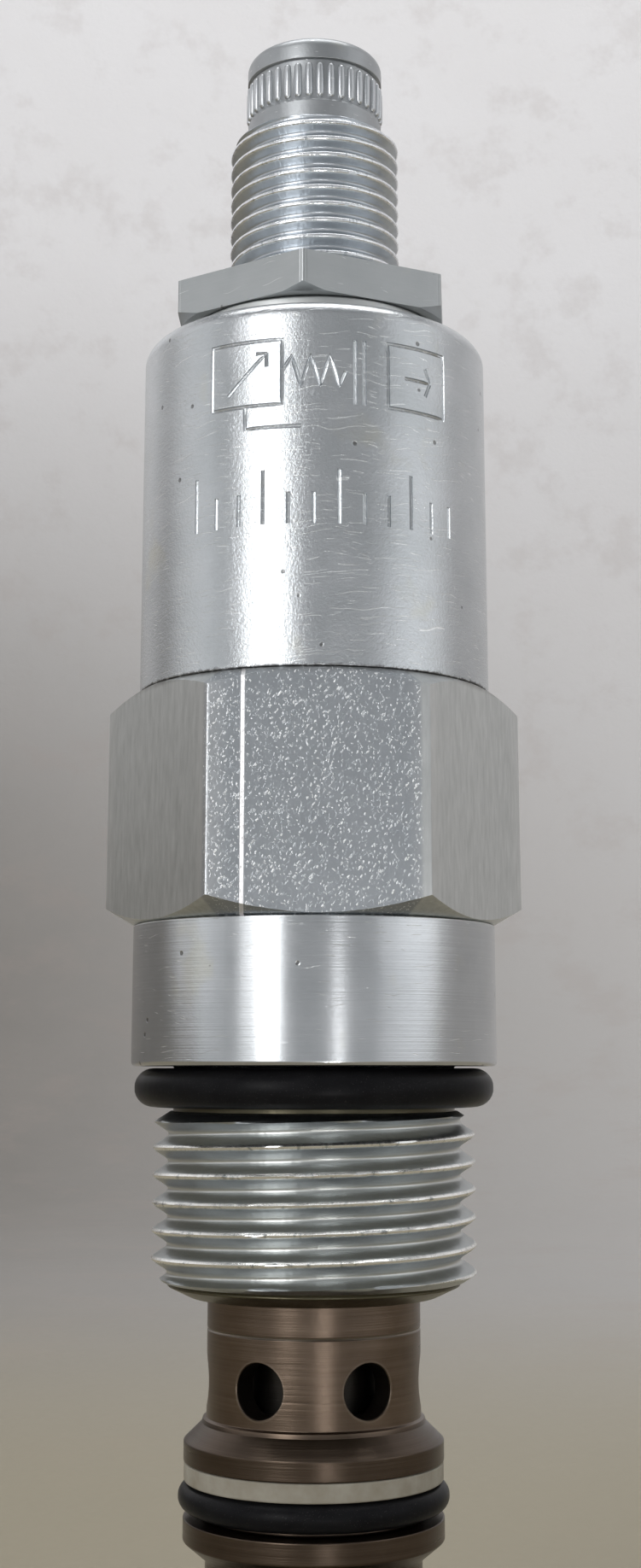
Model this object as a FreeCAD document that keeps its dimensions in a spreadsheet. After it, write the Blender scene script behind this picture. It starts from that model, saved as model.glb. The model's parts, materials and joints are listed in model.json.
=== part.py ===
"""Screw-in pilot-operated pressure reducing cartridge valve.

Frame: millimetres, +Z up towards the adjusting screw. The origin is the centre of
the shoulder face that seats on the manifold, so everything below z = 0 is inside
the cavity. Every turned piece is a closed outline of (radius, height) pairs.
"""
import FreeCAD, Part
import os
import re
import Sketcher

DRIVING_SIZES = [
    # hex, shoulder and manifold thread of the screw-in body
    ("hex_flats", 25.4), ("hex_low_z", 9.58), ("hex_top_z", 25.85), ("hex_turn", 1.5),
    ("hex_face_radius", 12.5), ("collar_radius", 12.65), ("collar_edge", 0.35),
    ("neck_radius", 9.7), ("neck_low_z", -3.0), ("body_thread_radius", 11.07),
    ("body_thread_end_z", -13.9), ("body_end_radius", 8.5), ("body_end_z", -15.12),
    ("spigot_radius", 10.55), ("spigot_top_z", 33.8), ("spring_chamber_radius", 7.4),
    ("chamber_floor_z", 15.0), ("pilot_bore_radius", 5.0), ("web_low_z", 5.0),
    ("cage_bore_radius", 7.25), ("drain_hole_radius", 0.7), ("drain_circle_radius", 6.25),
    ("sleeve_groove_z", 29.1), ("sleeve_groove_width", 2.2), ("sleeve_groove_floor", 9.1),
    # sleeve that holds the adjusting spring
    ("sleeve_radius", 12.5), ("sleeve_top_z", 51.6), ("sleeve_shoulder", 1.25),
    ("sleeve_bore_radius", 8.0), ("sleeve_bore_top_z", 46.5), ("sleeve_socket_radius", 10.6),
    ("sleeve_socket_top_z", 34.1), ("screw_hole_radius", 6.37),
    # cage
    ("cage_top_z", 4.0), ("cage_radius", 7.2), ("cage_low_z", -46.2), ("spool_bore_radius", 4.76),
    ("spring_bore_radius", 5.2), ("spring_bore_low_z", -7.0), ("joint_groove_top_z", -10.6),
    ("joint_groove_low_z", -12.4), ("joint_groove_floor", 5.85), ("flare_top_z", -22.85),
    ("flare_step", 0.25), ("upper_land_radius", 8.7), ("upper_land_top_z", -24.33),
    ("upper_groove_top_z", -25.6), ("upper_groove_low_z", -29.11), ("upper_groove_floor", 7.25),
    ("upper_land_low_z", -30.5), ("upper_taper_low_z", -31.7), ("lower_flare_top_z", -38.2),
    ("lower_land_top_z", -39.1), ("lower_land_radius", 7.9), ("lower_groove_top_z", -40.2),
    ("lower_groove_low_z", -44.3), ("lower_groove_floor", 6.35), ("nose_edge", 0.6),
    ("tank_port_z", -20.5), ("inlet_port_z", -35.0), ("port_hole_radius", 1.75),
    ("port_hole_count", 6), ("port_ring_radius", 5.3), ("ring_groove_top_z", -42.9),
    ("ring_groove_low_z", -43.6), ("ring_groove_radius", 5.35),
    # seals
    ("seal_wire", 0.89), ("body_seal_wire", 1.3), ("body_seal_z", -1.42), ("upper_seal_z", -27.8),
    ("lower_seal_z", -42.25), ("backup_width", 1.1), ("backup_clearance", 0.04),
    ("joint_seal_wire", 0.68), ("sleeve_seal_wire", 0.7), ("pilot_seal_wire", 0.58),
    # pilot stage
    ("seat_top_z", 14.9), ("seat_low_z", 6.2), ("seat_radius", 4.97), ("seat_hole_radius", 1.0),
    ("seat_cone_radius", 2.0), ("seat_groove_top_z", 11.2), ("seat_groove_low_z", 9.6),
    ("seat_groove_floor", 3.75), ("poppet_tip_radius", 0.5), ("poppet_tip_z", 13.5),
    ("poppet_head_radius", 2.6), ("poppet_head_top_z", 17.15), ("poppet_shank_radius", 1.57),
    ("poppet_shank_top_z", 19.8), ("screen_low_z", 5.3), ("screen_top_z", 6.1),
    ("screen_radius", 4.9), ("screen_hole_radius", 0.4), ("screen_hole_circle", 1.6),
    ("guide_flange_radius", 6.6), ("guide_boss_radius", 3.55), ("lower_guide_low_z", 17.2),
    ("lower_guide_flange_z", 19.4), ("lower_guide_top_z", 23.0), ("upper_guide_boss_z", 33.5),
    ("upper_guide_flange_z", 37.9), ("upper_guide_top_z", 40.3), ("ball_radius", 2.0),
    ("ball_z", 40.9), ("ball_cone_depth", 2.9), ("pilot_coil_radius", 4.75),
    ("pilot_wire_radius", 0.95), ("pilot_coils", 6),
    # adjusting screw, jam nut and knurled end
    ("screw_thread_radius", 6.32), ("screw_low_z", 41.0), ("screw_flange_radius", 7.9),
    ("screw_flange_top_z", 46.0), ("screw_groove_low_z", 42.6), ("screw_groove_top_z", 45.2),
    ("screw_groove_floor", 6.1), ("screw_seal_z", 43.55), ("screw_chamfer_z", 67.6),
    ("screw_top_radius", 5.5), ("screw_top_z", 68.54), ("screw_bore_radius", 3.55),
    ("screw_bore_low_z", 63.3), ("washer_radius", 9.4), ("washer_bore_radius", 6.45),
    ("washer_low_z", 51.63), ("washer_top_z", 52.93), ("nut_flats", 19.05), ("nut_low_z", 52.97),
    ("nut_top_z", 55.8), ("nut_turn", 26.0), ("nut_face_radius", 10.2), ("cap_radius", 5.1),
    ("cap_shank_radius", 3.5), ("cap_shank_low_z", 63.5), ("cap_low_z", 68.57), ("knurl_low_z", 70.27),
    ("knurl_top_z", 72.57), ("knurl_radius", 5.2), ("knurl_count", 38), ("knurl_depth", 0.22),
    ("cap_groove_z", 73.25), ("cap_top_z", 75.2), ("cap_top_edge", 1.6), ("key_flats", 3.97),
    ("key_depth", 4.5),
    # main stage
    ("spool_radius", 4.73), ("spool_low_z", -42.4), ("spool_top_z", -8.5), ("spool_bore", 2.7),
    ("spool_bore_top_z", -24.0), ("spool_drill_radius", 1.0), ("orifice_bore_radius", 1.8),
    ("orifice_floor_z", -13.1), ("orifice_radius", 0.4), ("plug_low_z", -13.0),
    ("plug_top_z", -9.6), ("plug_radius", 1.76), ("inlet_cross_z", -34.2), ("relief_cross_z", -25.2),
    ("spool_cross_radius", 1.05), ("balance_width", 0.4), ("balance_depth", 0.25),
    ("stop_ring_low_z", -43.55), ("stop_ring_top_z", -42.95), ("stop_ring_outer", 5.3),
    ("stop_ring_inner", 4.0), ("stop_ring_angle", 315), ("spring_seat_low_z", 4.05),
    ("spring_seat_top_z", 4.95), ("spring_seat_radius", 7.1), ("spring_boss_low_z", 1.8),
    ("spring_boss_radius", 3.2), ("spring_seat_hole", 1.2), ("main_coil_radius", 4.0),
    ("main_wire_radius", 0.45), ("main_coils", 9),
]

SHEET = "Sizes"
BALANCE_GROOVES = (-11.0, -14.0, -17.0, -29.0, -31.0, -39.0, -40.5)
CUT_MARGIN = 2.0

doc = FreeCAD.newDocument("cartridge_valve")
sheet = doc.addObject("Spreadsheet::Sheet", SHEET)
for row, (alias, number) in enumerate(DRIVING_SIZES, start=1):
    sheet.set(f"A{row}", alias.replace("_", " "))
    sheet.set(f"B{row}", str(number))
    sheet.setAlias(f"B{row}", alias)
doc.recompute()

ALIASES = {alias for alias, number in DRIVING_SIZES}
parts = {}


def bound(text):
    """Turn a formula written with plain aliases into one that names the sheet."""
    def named(match):
        word = match.group(0)
        return f"{SHEET}.{word}" if word in ALIASES else word
    return re.sub(r"[a-z_]+", named, str(text))


def value(text):
    """Evaluate a formula of aliases as a number of millimetres, degrees or a count."""
    return float(sheet.evalExpression(bound(text)))


def new_body(label):
    body = doc.addObject("PartDesign::Body", label)
    body.Label = label
    parts[label] = body
    return body


def origin_plane(body, role):
    return next(item for item in body.Origin.OriginFeatures if item.Role == role)


def outline_sketch(body, name, role, points, height=None):
    """Closed outline of straight sides whose corners are bound to the sheet."""
    sketch = body.newObject("Sketcher::SketchObject", name)
    sketch.AttachmentSupport = [(origin_plane(body, role), "")]
    sketch.MapMode = "FlatFace"
    if height is not None:
        sketch.setExpression("AttachmentOffset.Base.z", bound(height))
    corners = [FreeCAD.Vector(value(across), value(up), 0) for across, up in points]
    for start, end in zip(corners, corners[1:] + corners[:1]):
        sketch.addGeometry(Part.LineSegment(start, end), False)
    count = len(corners)
    for side in range(count):
        following = (side + 1) % count
        sketch.addConstraint(Sketcher.Constraint("Coincident", side, 2, following, 1))
    for side, (across, up) in enumerate(points):
        bind_corner(sketch, side, "DistanceX", across)
        bind_corner(sketch, side, "DistanceY", up)
    return sketch


def bind_corner(sketch, side, kind, formula):
    number = value(formula)
    if abs(number) < 1e-9:
        line = -2 if kind == "DistanceX" else -1
        sketch.addConstraint(Sketcher.Constraint("PointOnObject", side, 1, line))
        return
    index = sketch.addConstraint(Sketcher.Constraint(kind, -1, 1, side, 1, number))
    sketch.setExpression(f"Constraints[{index}]", bound(formula))


def circle_sketch(body, name, role, centre, radius, height=None):
    """One circle whose centre and radius are bound to the sheet."""
    sketch = body.newObject("Sketcher::SketchObject", name)
    sketch.AttachmentSupport = [(origin_plane(body, role), "")]
    sketch.MapMode = "FlatFace"
    if height is not None:
        sketch.setExpression("AttachmentOffset.Base.z", bound(height))
    place = FreeCAD.Vector(value(centre[0]), value(centre[1]), 0)
    sketch.addGeometry(Part.Circle(place, FreeCAD.Vector(0, 0, 1), value(radius)), False)
    index = sketch.addConstraint(Sketcher.Constraint("Radius", 0, value(radius)))
    sketch.setExpression(f"Constraints[{index}]", bound(radius))
    for kind, formula, line in (("DistanceX", centre[0], -2), ("DistanceY", centre[1], -1)):
        number = value(formula)
        if abs(number) < 1e-9:
            sketch.addConstraint(Sketcher.Constraint("PointOnObject", 0, 3, line))
            continue
        index = sketch.addConstraint(Sketcher.Constraint(kind, -1, 1, 0, 3, number))
        sketch.setExpression(f"Constraints[{index}]", bound(formula))
    return sketch


def revolve(body, name, points, cut=False, angle=None):
    """Turn an outline of (radius, height) about the valve's axis."""
    sketch = outline_sketch(body, name + "_outline", "XZ_Plane", points)
    kind = "PartDesign::Groove" if cut else "PartDesign::Revolution"
    before = volume_of(body) if cut else 0
    feature = body.newObject(kind, name)
    feature.Profile = sketch
    feature.ReferenceAxis = (sketch, ["V_Axis"])
    feature.Angle = 360.0
    if angle:
        feature.setExpression("Angle", bound(angle))
    sketch.Visibility = False
    doc.recompute()
    if cut and not volume_of(body) < before:
        raise RuntimeError(f"{body.Label}: {name} removed nothing")
    return feature


def volume_of(body):
    doc.recompute()
    return body.Shape.Volume


def pad(body, name, sketch, length):
    feature = body.newObject("PartDesign::Pad", name)
    feature.Profile = sketch
    feature.setExpression("Length", bound(length))
    sketch.Visibility = False
    doc.recompute()
    return feature


def pocket(body, name, sketch, length, both_ways=False, reversed_way=False):
    """Cut a sketch's shape to a depth, and refuse a cut that removes nothing."""
    before = volume_of(body)
    feature = body.newObject("PartDesign::Pocket", name)
    feature.Profile = sketch
    feature.setExpression("Length", bound(length))
    feature.Midplane = both_ways
    feature.Reversed = reversed_way
    sketch.Visibility = False
    doc.recompute()
    if not volume_of(body) < before:
        raise RuntimeError(f"{body.Label}: {name} removed nothing")
    return feature


def polar(body, name, feature, count, angle):
    pattern = body.newObject("PartDesign::PolarPattern", name)
    pattern.Originals = [feature]
    pattern.Axis = (origin_plane(body, "Z_Axis"), [""])
    pattern.setExpression("Occurrences", bound(count))
    pattern.setExpression("Angle", bound(angle))
    body.Tip = pattern
    doc.recompute()
    return pattern


def cross_holes(body, name, height, radius, reach, pairs, half_turn):
    """Pairs of opposite radial holes through a turned piece, evenly spaced."""
    sketch = circle_sketch(body, name + "_circle", "YZ_Plane", ("0", height), radius)
    drilled = pocket(body, name, sketch, f"2 * {reach} + {CUT_MARGIN}", both_ways=True)
    return polar(body, name + "_pattern", drilled, pairs, half_turn)


def hexagon(flats, turn):
    """Corner formulas of a hexagon across flats, its first corner turned from +X."""
    corner = f"{flats} / sqrt(3)"
    angles = [f"({turn} + {60 * step}) * 1 deg" for step in range(6)]
    return [(f"{corner} * cos({angle})", f"{corner} * sin({angle})") for angle in angles]


def corner_chamfer(body, name, flats, face_radius, face_z, up):
    """Turned 30 degree chamfer that rounds the six corners at one end of a hexagon."""
    outside = f"({flats} / sqrt(3) + {CUT_MARGIN})"
    drop = f"({outside} - {face_radius}) * tan(30 deg)"
    sign = "-" if up else "+"
    over = f"{face_z} {'+' if up else '-'} {CUT_MARGIN}"
    points = [(face_radius, face_z), (outside, f"{face_z} {sign} {drop}"),
              (outside, over), (face_radius, over)]
    return revolve(body, name, points, cut=True)


def o_ring(label, centre_radius, wire, height):
    ring = doc.addObject("Part::Torus", label)
    ring.Label = label
    ring.setExpression("Radius1", bound(centre_radius))
    ring.setExpression("Radius2", bound(wire))
    ring.setExpression("Placement.Base.z", bound(height))
    parts[label] = ring
    return ring


def ring_section(inner, outer, low, top):
    return [(inner, low), (outer, low), (outer, top), (inner, top)]


def square_ring(label, inner, outer, low, top):
    """Flat ring of rectangular section."""
    body = new_body(label)
    revolve(body, label + "_turn", ring_section(inner, outer, low, top))
    return body


def coil_spring(label, coil_radius, wire_radius, low, top, coils):
    """Round wire compression spring that just reaches its two seats."""
    radius, wire = value(coil_radius), value(wire_radius)
    floor, roof, turns = value(low) + wire, value(top) - wire, value(coils)
    helix = Part.makeHelix((roof - floor) / turns, roof - floor, radius)
    start = FreeCAD.Vector(radius, 0, 0)
    section = Part.Wire(Part.makeCircle(wire, start, FreeCAD.Vector(0, 1, 0)))
    spring = doc.addObject("Part::Feature", label)
    spring.Shape = Part.Wire(helix.Edges).makePipeShell([section], True, True)
    spring.Placement = FreeCAD.Placement(FreeCAD.Vector(0, 0, floor), FreeCAD.Rotation())
    spring.Label = label
    parts[label] = spring
    return spring


def hex_body():
    """Wrench hex, seating collar, cavity thread and spigot, machined from one bar."""
    body = new_body("hex_body")
    outline = outline_sketch(body, "hex_outline", "XY_Plane", hexagon("hex_flats", "hex_turn"),
                             height="hex_low_z")
    pad(body, "hex_pad", outline, "hex_top_z - hex_low_z")
    corner_chamfer(body, "hex_top_chamfer", "hex_flats", "hex_face_radius", "hex_top_z", True)
    corner_chamfer(body, "hex_low_chamfer", "hex_flats", "hex_face_radius", "hex_low_z", False)
    revolve(body, "turned_form", [
        ("0", "body_end_z"), ("body_end_radius", "body_end_z"),
        ("body_thread_radius - 0.6", "body_thread_end_z - 0.25"),
        ("body_thread_radius", "body_thread_end_z"), ("body_thread_radius", "neck_low_z - 1.1"),
        ("neck_radius", "neck_low_z"), ("neck_radius", "0"), ("collar_radius - collar_edge", "0"),
        ("collar_radius", "collar_edge"), ("collar_radius", "hex_low_z + 1"),
        ("spigot_radius", "hex_low_z + 1"), ("spigot_radius", "spigot_top_z - 0.5"),
        ("spigot_radius - 0.5", "spigot_top_z"), ("0", "spigot_top_z")])
    revolve(body, "bores", [
        ("0", f"body_end_z - {CUT_MARGIN}"), ("cage_bore_radius", f"body_end_z - {CUT_MARGIN}"),
        ("cage_bore_radius", "web_low_z"), ("pilot_bore_radius", "web_low_z"),
        ("pilot_bore_radius", "chamber_floor_z"), ("spring_chamber_radius", "chamber_floor_z"),
        ("spring_chamber_radius", f"spigot_top_z + {CUT_MARGIN}"),
        ("0", f"spigot_top_z + {CUT_MARGIN}")], cut=True)
    low = "sleeve_groove_z - sleeve_groove_width / 2"
    top = "sleeve_groove_z + sleeve_groove_width / 2"
    revolve(body, "sleeve_seal_groove", [
        ("sleeve_groove_floor", low), (f"spigot_radius + {CUT_MARGIN}", low),
        (f"spigot_radius + {CUT_MARGIN}", top), ("sleeve_groove_floor", top)], cut=True)
    circle = circle_sketch(body, "drain_circle", "XY_Plane", ("drain_circle_radius", "0"),
                           "drain_hole_radius", height="chamber_floor_z + 1")
    drain = pocket(body, "drain_hole", circle, f"chamber_floor_z - web_low_z + {CUT_MARGIN}")
    polar(body, "drain_holes", drain, "2", "180")


def sleeve():
    """Round casing pressed over the spigot, closed at the top around the screw."""
    body = new_body("sleeve")
    gap = "hex_top_z + 0.03"
    revolve(body, "sleeve_form", [
        ("sleeve_socket_radius", gap), ("sleeve_radius", gap), ("sleeve_radius", "sleeve_top_z"),
        ("screw_hole_radius", "sleeve_top_z"), ("screw_hole_radius", "sleeve_bore_top_z"),
        ("sleeve_bore_radius", "sleeve_bore_top_z"), ("sleeve_bore_radius", "sleeve_socket_top_z"),
        ("sleeve_socket_radius", "sleeve_socket_top_z")])
    shoulder = body.newObject("PartDesign::Fillet", "rounded_shoulder")
    base = body.Group[-2]
    shoulder.Base = (base, [top_outer_edge(base.Shape)])
    shoulder.setExpression("Radius", bound("sleeve_shoulder"))
    body.Tip = shoulder
    doc.recompute()


def top_outer_edge(shape):
    """Name of the circular edge round the top of the sleeve."""
    wanted = FreeCAD.Vector(0, 0, value("sleeve_top_z"))
    for index, edge in enumerate(shape.Edges, start=1):
        curve = edge.Curve
        if not isinstance(curve, Part.Circle):
            continue
        if abs(curve.Radius - value("sleeve_radius")) < 1e-6 and (curve.Center - wanted).Length < 1e-6:
            return f"Edge{index}"
    raise RuntimeError("sleeve: no top edge to round")


def cage():
    """Ported sleeve that screws into the body and carries the seals and the spool."""
    body = new_body("cage")
    ring = "port_ring_radius"
    bore = "spool_bore_radius"
    half = "port_hole_radius"
    revolve(body, "cage_form", [
        ("spring_bore_radius", "cage_top_z"), ("cage_radius", "cage_top_z"),
        ("cage_radius", "joint_groove_top_z"), ("joint_groove_floor", "joint_groove_top_z"),
        ("joint_groove_floor", "joint_groove_low_z"), ("cage_radius", "joint_groove_low_z"),
        ("cage_radius", "flare_top_z"), ("cage_radius + flare_step", "flare_top_z - 0.15"),
        ("upper_land_radius", "upper_land_top_z"), ("upper_land_radius", "upper_groove_top_z"),
        ("upper_groove_floor", "upper_groove_top_z"), ("upper_groove_floor", "upper_groove_low_z"),
        ("upper_land_radius", "upper_groove_low_z"), ("upper_land_radius", "upper_land_low_z"),
        ("cage_radius", "upper_taper_low_z"), ("cage_radius", "lower_flare_top_z"),
        ("lower_land_radius", "lower_land_top_z"), ("lower_land_radius", "lower_groove_top_z"),
        ("lower_groove_floor", "lower_groove_top_z"), ("lower_groove_floor", "lower_groove_low_z"),
        ("lower_land_radius", "lower_groove_low_z"), ("lower_land_radius", "cage_low_z + nose_edge"),
        ("lower_land_radius - nose_edge", "cage_low_z"), (f"{bore} + nose_edge", "cage_low_z"),
        (bore, "cage_low_z + nose_edge"), (bore, "ring_groove_low_z"),
        ("ring_groove_radius", "ring_groove_low_z"), ("ring_groove_radius", "ring_groove_top_z"),
        (bore, "ring_groove_top_z"), (bore, f"inlet_port_z - {half}"),
        (ring, f"inlet_port_z - {half}"), (ring, f"inlet_port_z + {half}"),
        (bore, f"inlet_port_z + {half}"), (bore, f"tank_port_z - {half}"),
        (ring, f"tank_port_z - {half}"), (ring, f"tank_port_z + {half}"),
        (bore, f"tank_port_z + {half}"), (bore, "spring_bore_low_z"),
        ("spring_bore_radius", "spring_bore_low_z + 0.44")])
    for name, height in (("tank_holes", "tank_port_z"), ("inlet_holes", "inlet_port_z")):
        cross_holes(body, name, height, "port_hole_radius", "cage_radius",
                    "port_hole_count / 2", "180 - 360 / port_hole_count")


def seals():
    """All the O-rings, each lying in its own groove, and the stiff backup rings."""
    o_ring("body_o_ring", "neck_radius + body_seal_wire + 0.1", "body_seal_wire", "body_seal_z")
    o_ring("upper_cage_o_ring", "upper_groove_floor + seal_wire + 0.02", "seal_wire", "upper_seal_z")
    o_ring("lower_cage_o_ring", "lower_groove_floor + seal_wire + 0.02", "seal_wire", "lower_seal_z")
    o_ring("cage_joint_o_ring", "joint_groove_floor + joint_seal_wire + 0.01", "joint_seal_wire",
           "(joint_groove_top_z + joint_groove_low_z) / 2")
    o_ring("sleeve_o_ring", "sleeve_groove_floor + sleeve_seal_wire + 0.02", "sleeve_seal_wire",
           "sleeve_groove_z")
    o_ring("pilot_seat_o_ring", "seat_groove_floor + pilot_seal_wire + 0.02", "pilot_seal_wire",
           "(seat_groove_top_z + seat_groove_low_z) / 2")
    o_ring("screw_o_ring", "screw_groove_floor + seal_wire + 0.02", "seal_wire", "screw_seal_z")
    gap = "backup_clearance"
    square_ring("upper_backup_ring", f"upper_groove_floor + {gap}", f"upper_land_radius - {gap}",
                f"upper_groove_top_z - {gap} - backup_width - 0.1", f"upper_groove_top_z - {gap}")
    square_ring("lower_backup_ring_top", f"lower_groove_floor + {gap}",
                f"lower_land_radius - {gap}", f"lower_groove_top_z - {gap} - backup_width",
                f"lower_groove_top_z - {gap}")
    square_ring("lower_backup_ring_bottom", f"lower_groove_floor + {gap}",
                f"lower_land_radius - {gap}", f"lower_groove_low_z + {gap}",
                f"lower_groove_low_z + {gap} + backup_width - 0.2")
    square_ring("screw_backup_ring", f"screw_groove_floor + {gap}",
                f"screw_flange_radius - {gap} / 2", f"screw_groove_top_z - {gap} - 0.65",
                f"screw_groove_top_z - {gap}")


def pilot_stage():
    """Seat, poppet, screen and spring guides that set the pressure."""
    seat = new_body("pilot_seat")
    revolve(seat, "seat_form", [
        ("seat_hole_radius", "seat_low_z"), ("seat_radius - 0.3", "seat_low_z"),
        ("seat_radius", "seat_low_z + 0.3"), ("seat_radius", "seat_groove_low_z"),
        ("seat_groove_floor", "seat_groove_low_z"), ("seat_groove_floor", "seat_groove_top_z"),
        ("seat_radius", "seat_groove_top_z"), ("seat_radius", "seat_top_z"),
        ("seat_cone_radius", "seat_top_z"),
        ("seat_hole_radius", "seat_top_z - seat_cone_radius + seat_hole_radius")])
    poppet = new_body("pilot_poppet")
    slope = "poppet_head_radius - poppet_tip_radius"
    revolve(poppet, "poppet_form", [
        ("0", "poppet_tip_z"), ("poppet_tip_radius", "poppet_tip_z"),
        ("poppet_head_radius", f"poppet_tip_z + {slope}"), ("poppet_head_radius", "poppet_head_top_z"),
        ("poppet_shank_radius", "poppet_head_top_z"), ("poppet_shank_radius", "poppet_shank_top_z"),
        ("0", "poppet_shank_top_z")])
    lower = new_body("lower_spring_guide")
    socket = "poppet_shank_radius + 0.03"
    revolve(lower, "lower_guide_form", [
        ("0", "poppet_shank_top_z + 0.2"), (socket, "poppet_shank_top_z + 0.2"),
        (socket, "lower_guide_low_z"), ("guide_flange_radius", "lower_guide_low_z"),
        ("guide_flange_radius", "lower_guide_flange_z"), ("guide_boss_radius", "lower_guide_flange_z"),
        ("guide_boss_radius", "lower_guide_top_z - 0.6"),
        ("guide_boss_radius - 0.6", "lower_guide_top_z"), ("0", "lower_guide_top_z")])
    upper = new_body("upper_spring_guide")
    mouth = "upper_guide_top_z - ball_z + ball_cone_depth"
    revolve(upper, "upper_guide_form", [
        ("0", "upper_guide_boss_z"), ("guide_boss_radius - 0.6", "upper_guide_boss_z"),
        ("guide_boss_radius", "upper_guide_boss_z + 0.6"),
        ("guide_boss_radius", "upper_guide_flange_z"), ("guide_flange_radius", "upper_guide_flange_z"),
        ("guide_flange_radius", "upper_guide_top_z"), (mouth, "upper_guide_top_z"),
        ("0", "ball_z - ball_cone_depth")])
    ball = doc.addObject("Part::Sphere", "thrust_ball")
    ball.Label = "thrust_ball"
    ball.setExpression("Radius", bound("ball_radius"))
    ball.setExpression("Placement.Base.z", bound("ball_z"))
    parts["thrust_ball"] = ball
    screen = square_ring("pilot_screen", "screen_hole_radius", "screen_radius", "screen_low_z",
                         "screen_top_z")
    circle = circle_sketch(screen, "screen_circle", "XY_Plane", ("screen_hole_circle", "0"),
                           "screen_hole_radius", height="screen_top_z + 0.5")
    hole = pocket(screen, "screen_hole", circle, CUT_MARGIN)
    polar(screen, "screen_holes", hole, "6", "360")
    coil_spring("pilot_spring", "pilot_coil_radius", "pilot_wire_radius",
                "lower_guide_flange_z + 0.04", "upper_guide_flange_z - 0.04", "pilot_coils")


def main_stage():
    """Hollow spool, its orifice plug, return spring, spring seat and stop ring."""
    spool = new_body("main_spool")
    revolve(spool, "spool_form", [
        ("spool_bore", "spool_low_z"), ("spool_radius - 0.2", "spool_low_z"),
        ("spool_radius", "spool_low_z + 0.2"), ("spool_radius", "spool_top_z - 0.2"),
        ("spool_radius - 0.2", "spool_top_z"), ("orifice_bore_radius", "spool_top_z"),
        ("orifice_bore_radius", "orifice_floor_z"), ("spool_drill_radius", "orifice_floor_z"),
        ("spool_drill_radius", "spool_bore_top_z"), ("spool_bore", "spool_bore_top_z")])
    for number, height in enumerate(BALANCE_GROOVES, start=1):
        revolve(spool, f"balance_groove_{number}", ring_section(
            "spool_radius - balance_depth", f"spool_radius + {CUT_MARGIN}",
            f"{height} - balance_width / 2", f"{height} + balance_width / 2"), cut=True)
    cross_holes(spool, "inlet_ports", "inlet_cross_z", "spool_cross_radius", "spool_radius",
                "3", "120")
    cross_holes(spool, "relief_ports", "relief_cross_z", "spool_cross_radius", "spool_radius",
                "2", "90")
    square_ring("spool_orifice_plug", "orifice_radius", "plug_radius", "plug_low_z", "plug_top_z")
    ring = new_body("spool_stop_ring")
    revolve(ring, "stop_ring_turn", ring_section("stop_ring_inner", "stop_ring_outer",
            "stop_ring_low_z", "stop_ring_top_z"), angle="stop_ring_angle")
    seat = new_body("main_spring_seat")
    revolve(seat, "spring_seat_form", [
        ("spring_seat_hole", "spring_boss_low_z"), ("spring_boss_radius - 0.4", "spring_boss_low_z"),
        ("spring_boss_radius", "spring_boss_low_z + 0.4"),
        ("spring_boss_radius", "spring_seat_low_z"), ("spring_seat_radius", "spring_seat_low_z"),
        ("spring_seat_radius", "spring_seat_top_z"), ("spring_seat_hole", "spring_seat_top_z")])
    coil_spring("main_spring", "main_coil_radius", "main_wire_radius", "spool_top_z + 0.04",
                "spring_seat_low_z - 0.04", "main_coils")


def adjusting_screw():
    """Threaded stem with a sealed flange that can't pass out of the sleeve."""
    body = new_body("adjusting_screw")
    mouth = "ball_z + ball_cone_depth - screw_low_z"
    revolve(body, "screw_form", [
        ("0", "ball_z + ball_cone_depth"), (mouth, "screw_low_z"),
        ("screw_flange_radius - 0.3", "screw_low_z"), ("screw_flange_radius", "screw_low_z + 0.3"),
        ("screw_flange_radius", "screw_groove_low_z"), ("screw_groove_floor", "screw_groove_low_z"),
        ("screw_groove_floor", "screw_groove_top_z"), ("screw_flange_radius", "screw_groove_top_z"),
        ("screw_flange_radius", "screw_flange_top_z"), ("screw_thread_radius", "screw_flange_top_z"),
        ("screw_thread_radius", "screw_chamfer_z"), ("screw_top_radius", "screw_top_z"),
        ("screw_bore_radius", "screw_top_z"), ("screw_bore_radius", "screw_bore_low_z"),
        ("0", "screw_bore_low_z")])


def adjuster_cap():
    """Knurled end pressed into the stem, with a hexagon socket for the key."""
    body = new_body("adjuster_cap")
    revolve(body, "cap_form", [
        ("0", "cap_shank_low_z"), ("cap_shank_radius", "cap_shank_low_z"),
        ("cap_shank_radius", "cap_low_z"), ("cap_radius", "cap_low_z"),
        ("cap_radius", "knurl_low_z - 0.12"), ("knurl_radius", "knurl_low_z"),
        ("knurl_radius", "knurl_top_z"), ("cap_radius", "knurl_top_z + 0.12"),
        ("cap_radius", "cap_groove_z - 0.12"), ("cap_radius - 0.15", "cap_groove_z"),
        ("cap_radius", "cap_groove_z + 0.12"), ("cap_radius", "cap_top_z - cap_top_edge"),
        ("cap_radius - cap_top_edge / 3", "cap_top_z - cap_top_edge / 3"),
        ("cap_radius - cap_top_edge", "cap_top_z"), ("0", "cap_top_z")])
    outline = outline_sketch(body, "key_outline", "XY_Plane", hexagon("key_flats", "0"),
                             height="cap_top_z + 1")
    pocket(body, "key_socket", outline, "key_depth + 1")
    reach = f"knurl_radius + {CUT_MARGIN / 4}"
    groove = outline_sketch(body, "knurl_outline", "XY_Plane", [
        ("knurl_radius - knurl_depth", "0"), (reach, "knurl_depth * 2"),
        (reach, "0 - knurl_depth * 2")], height="knurl_top_z + 0.3")
    cut = pocket(body, "knurl_groove", groove, "knurl_top_z - knurl_low_z + 0.6")
    polar(body, "knurl", cut, "knurl_count", "360")


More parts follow.
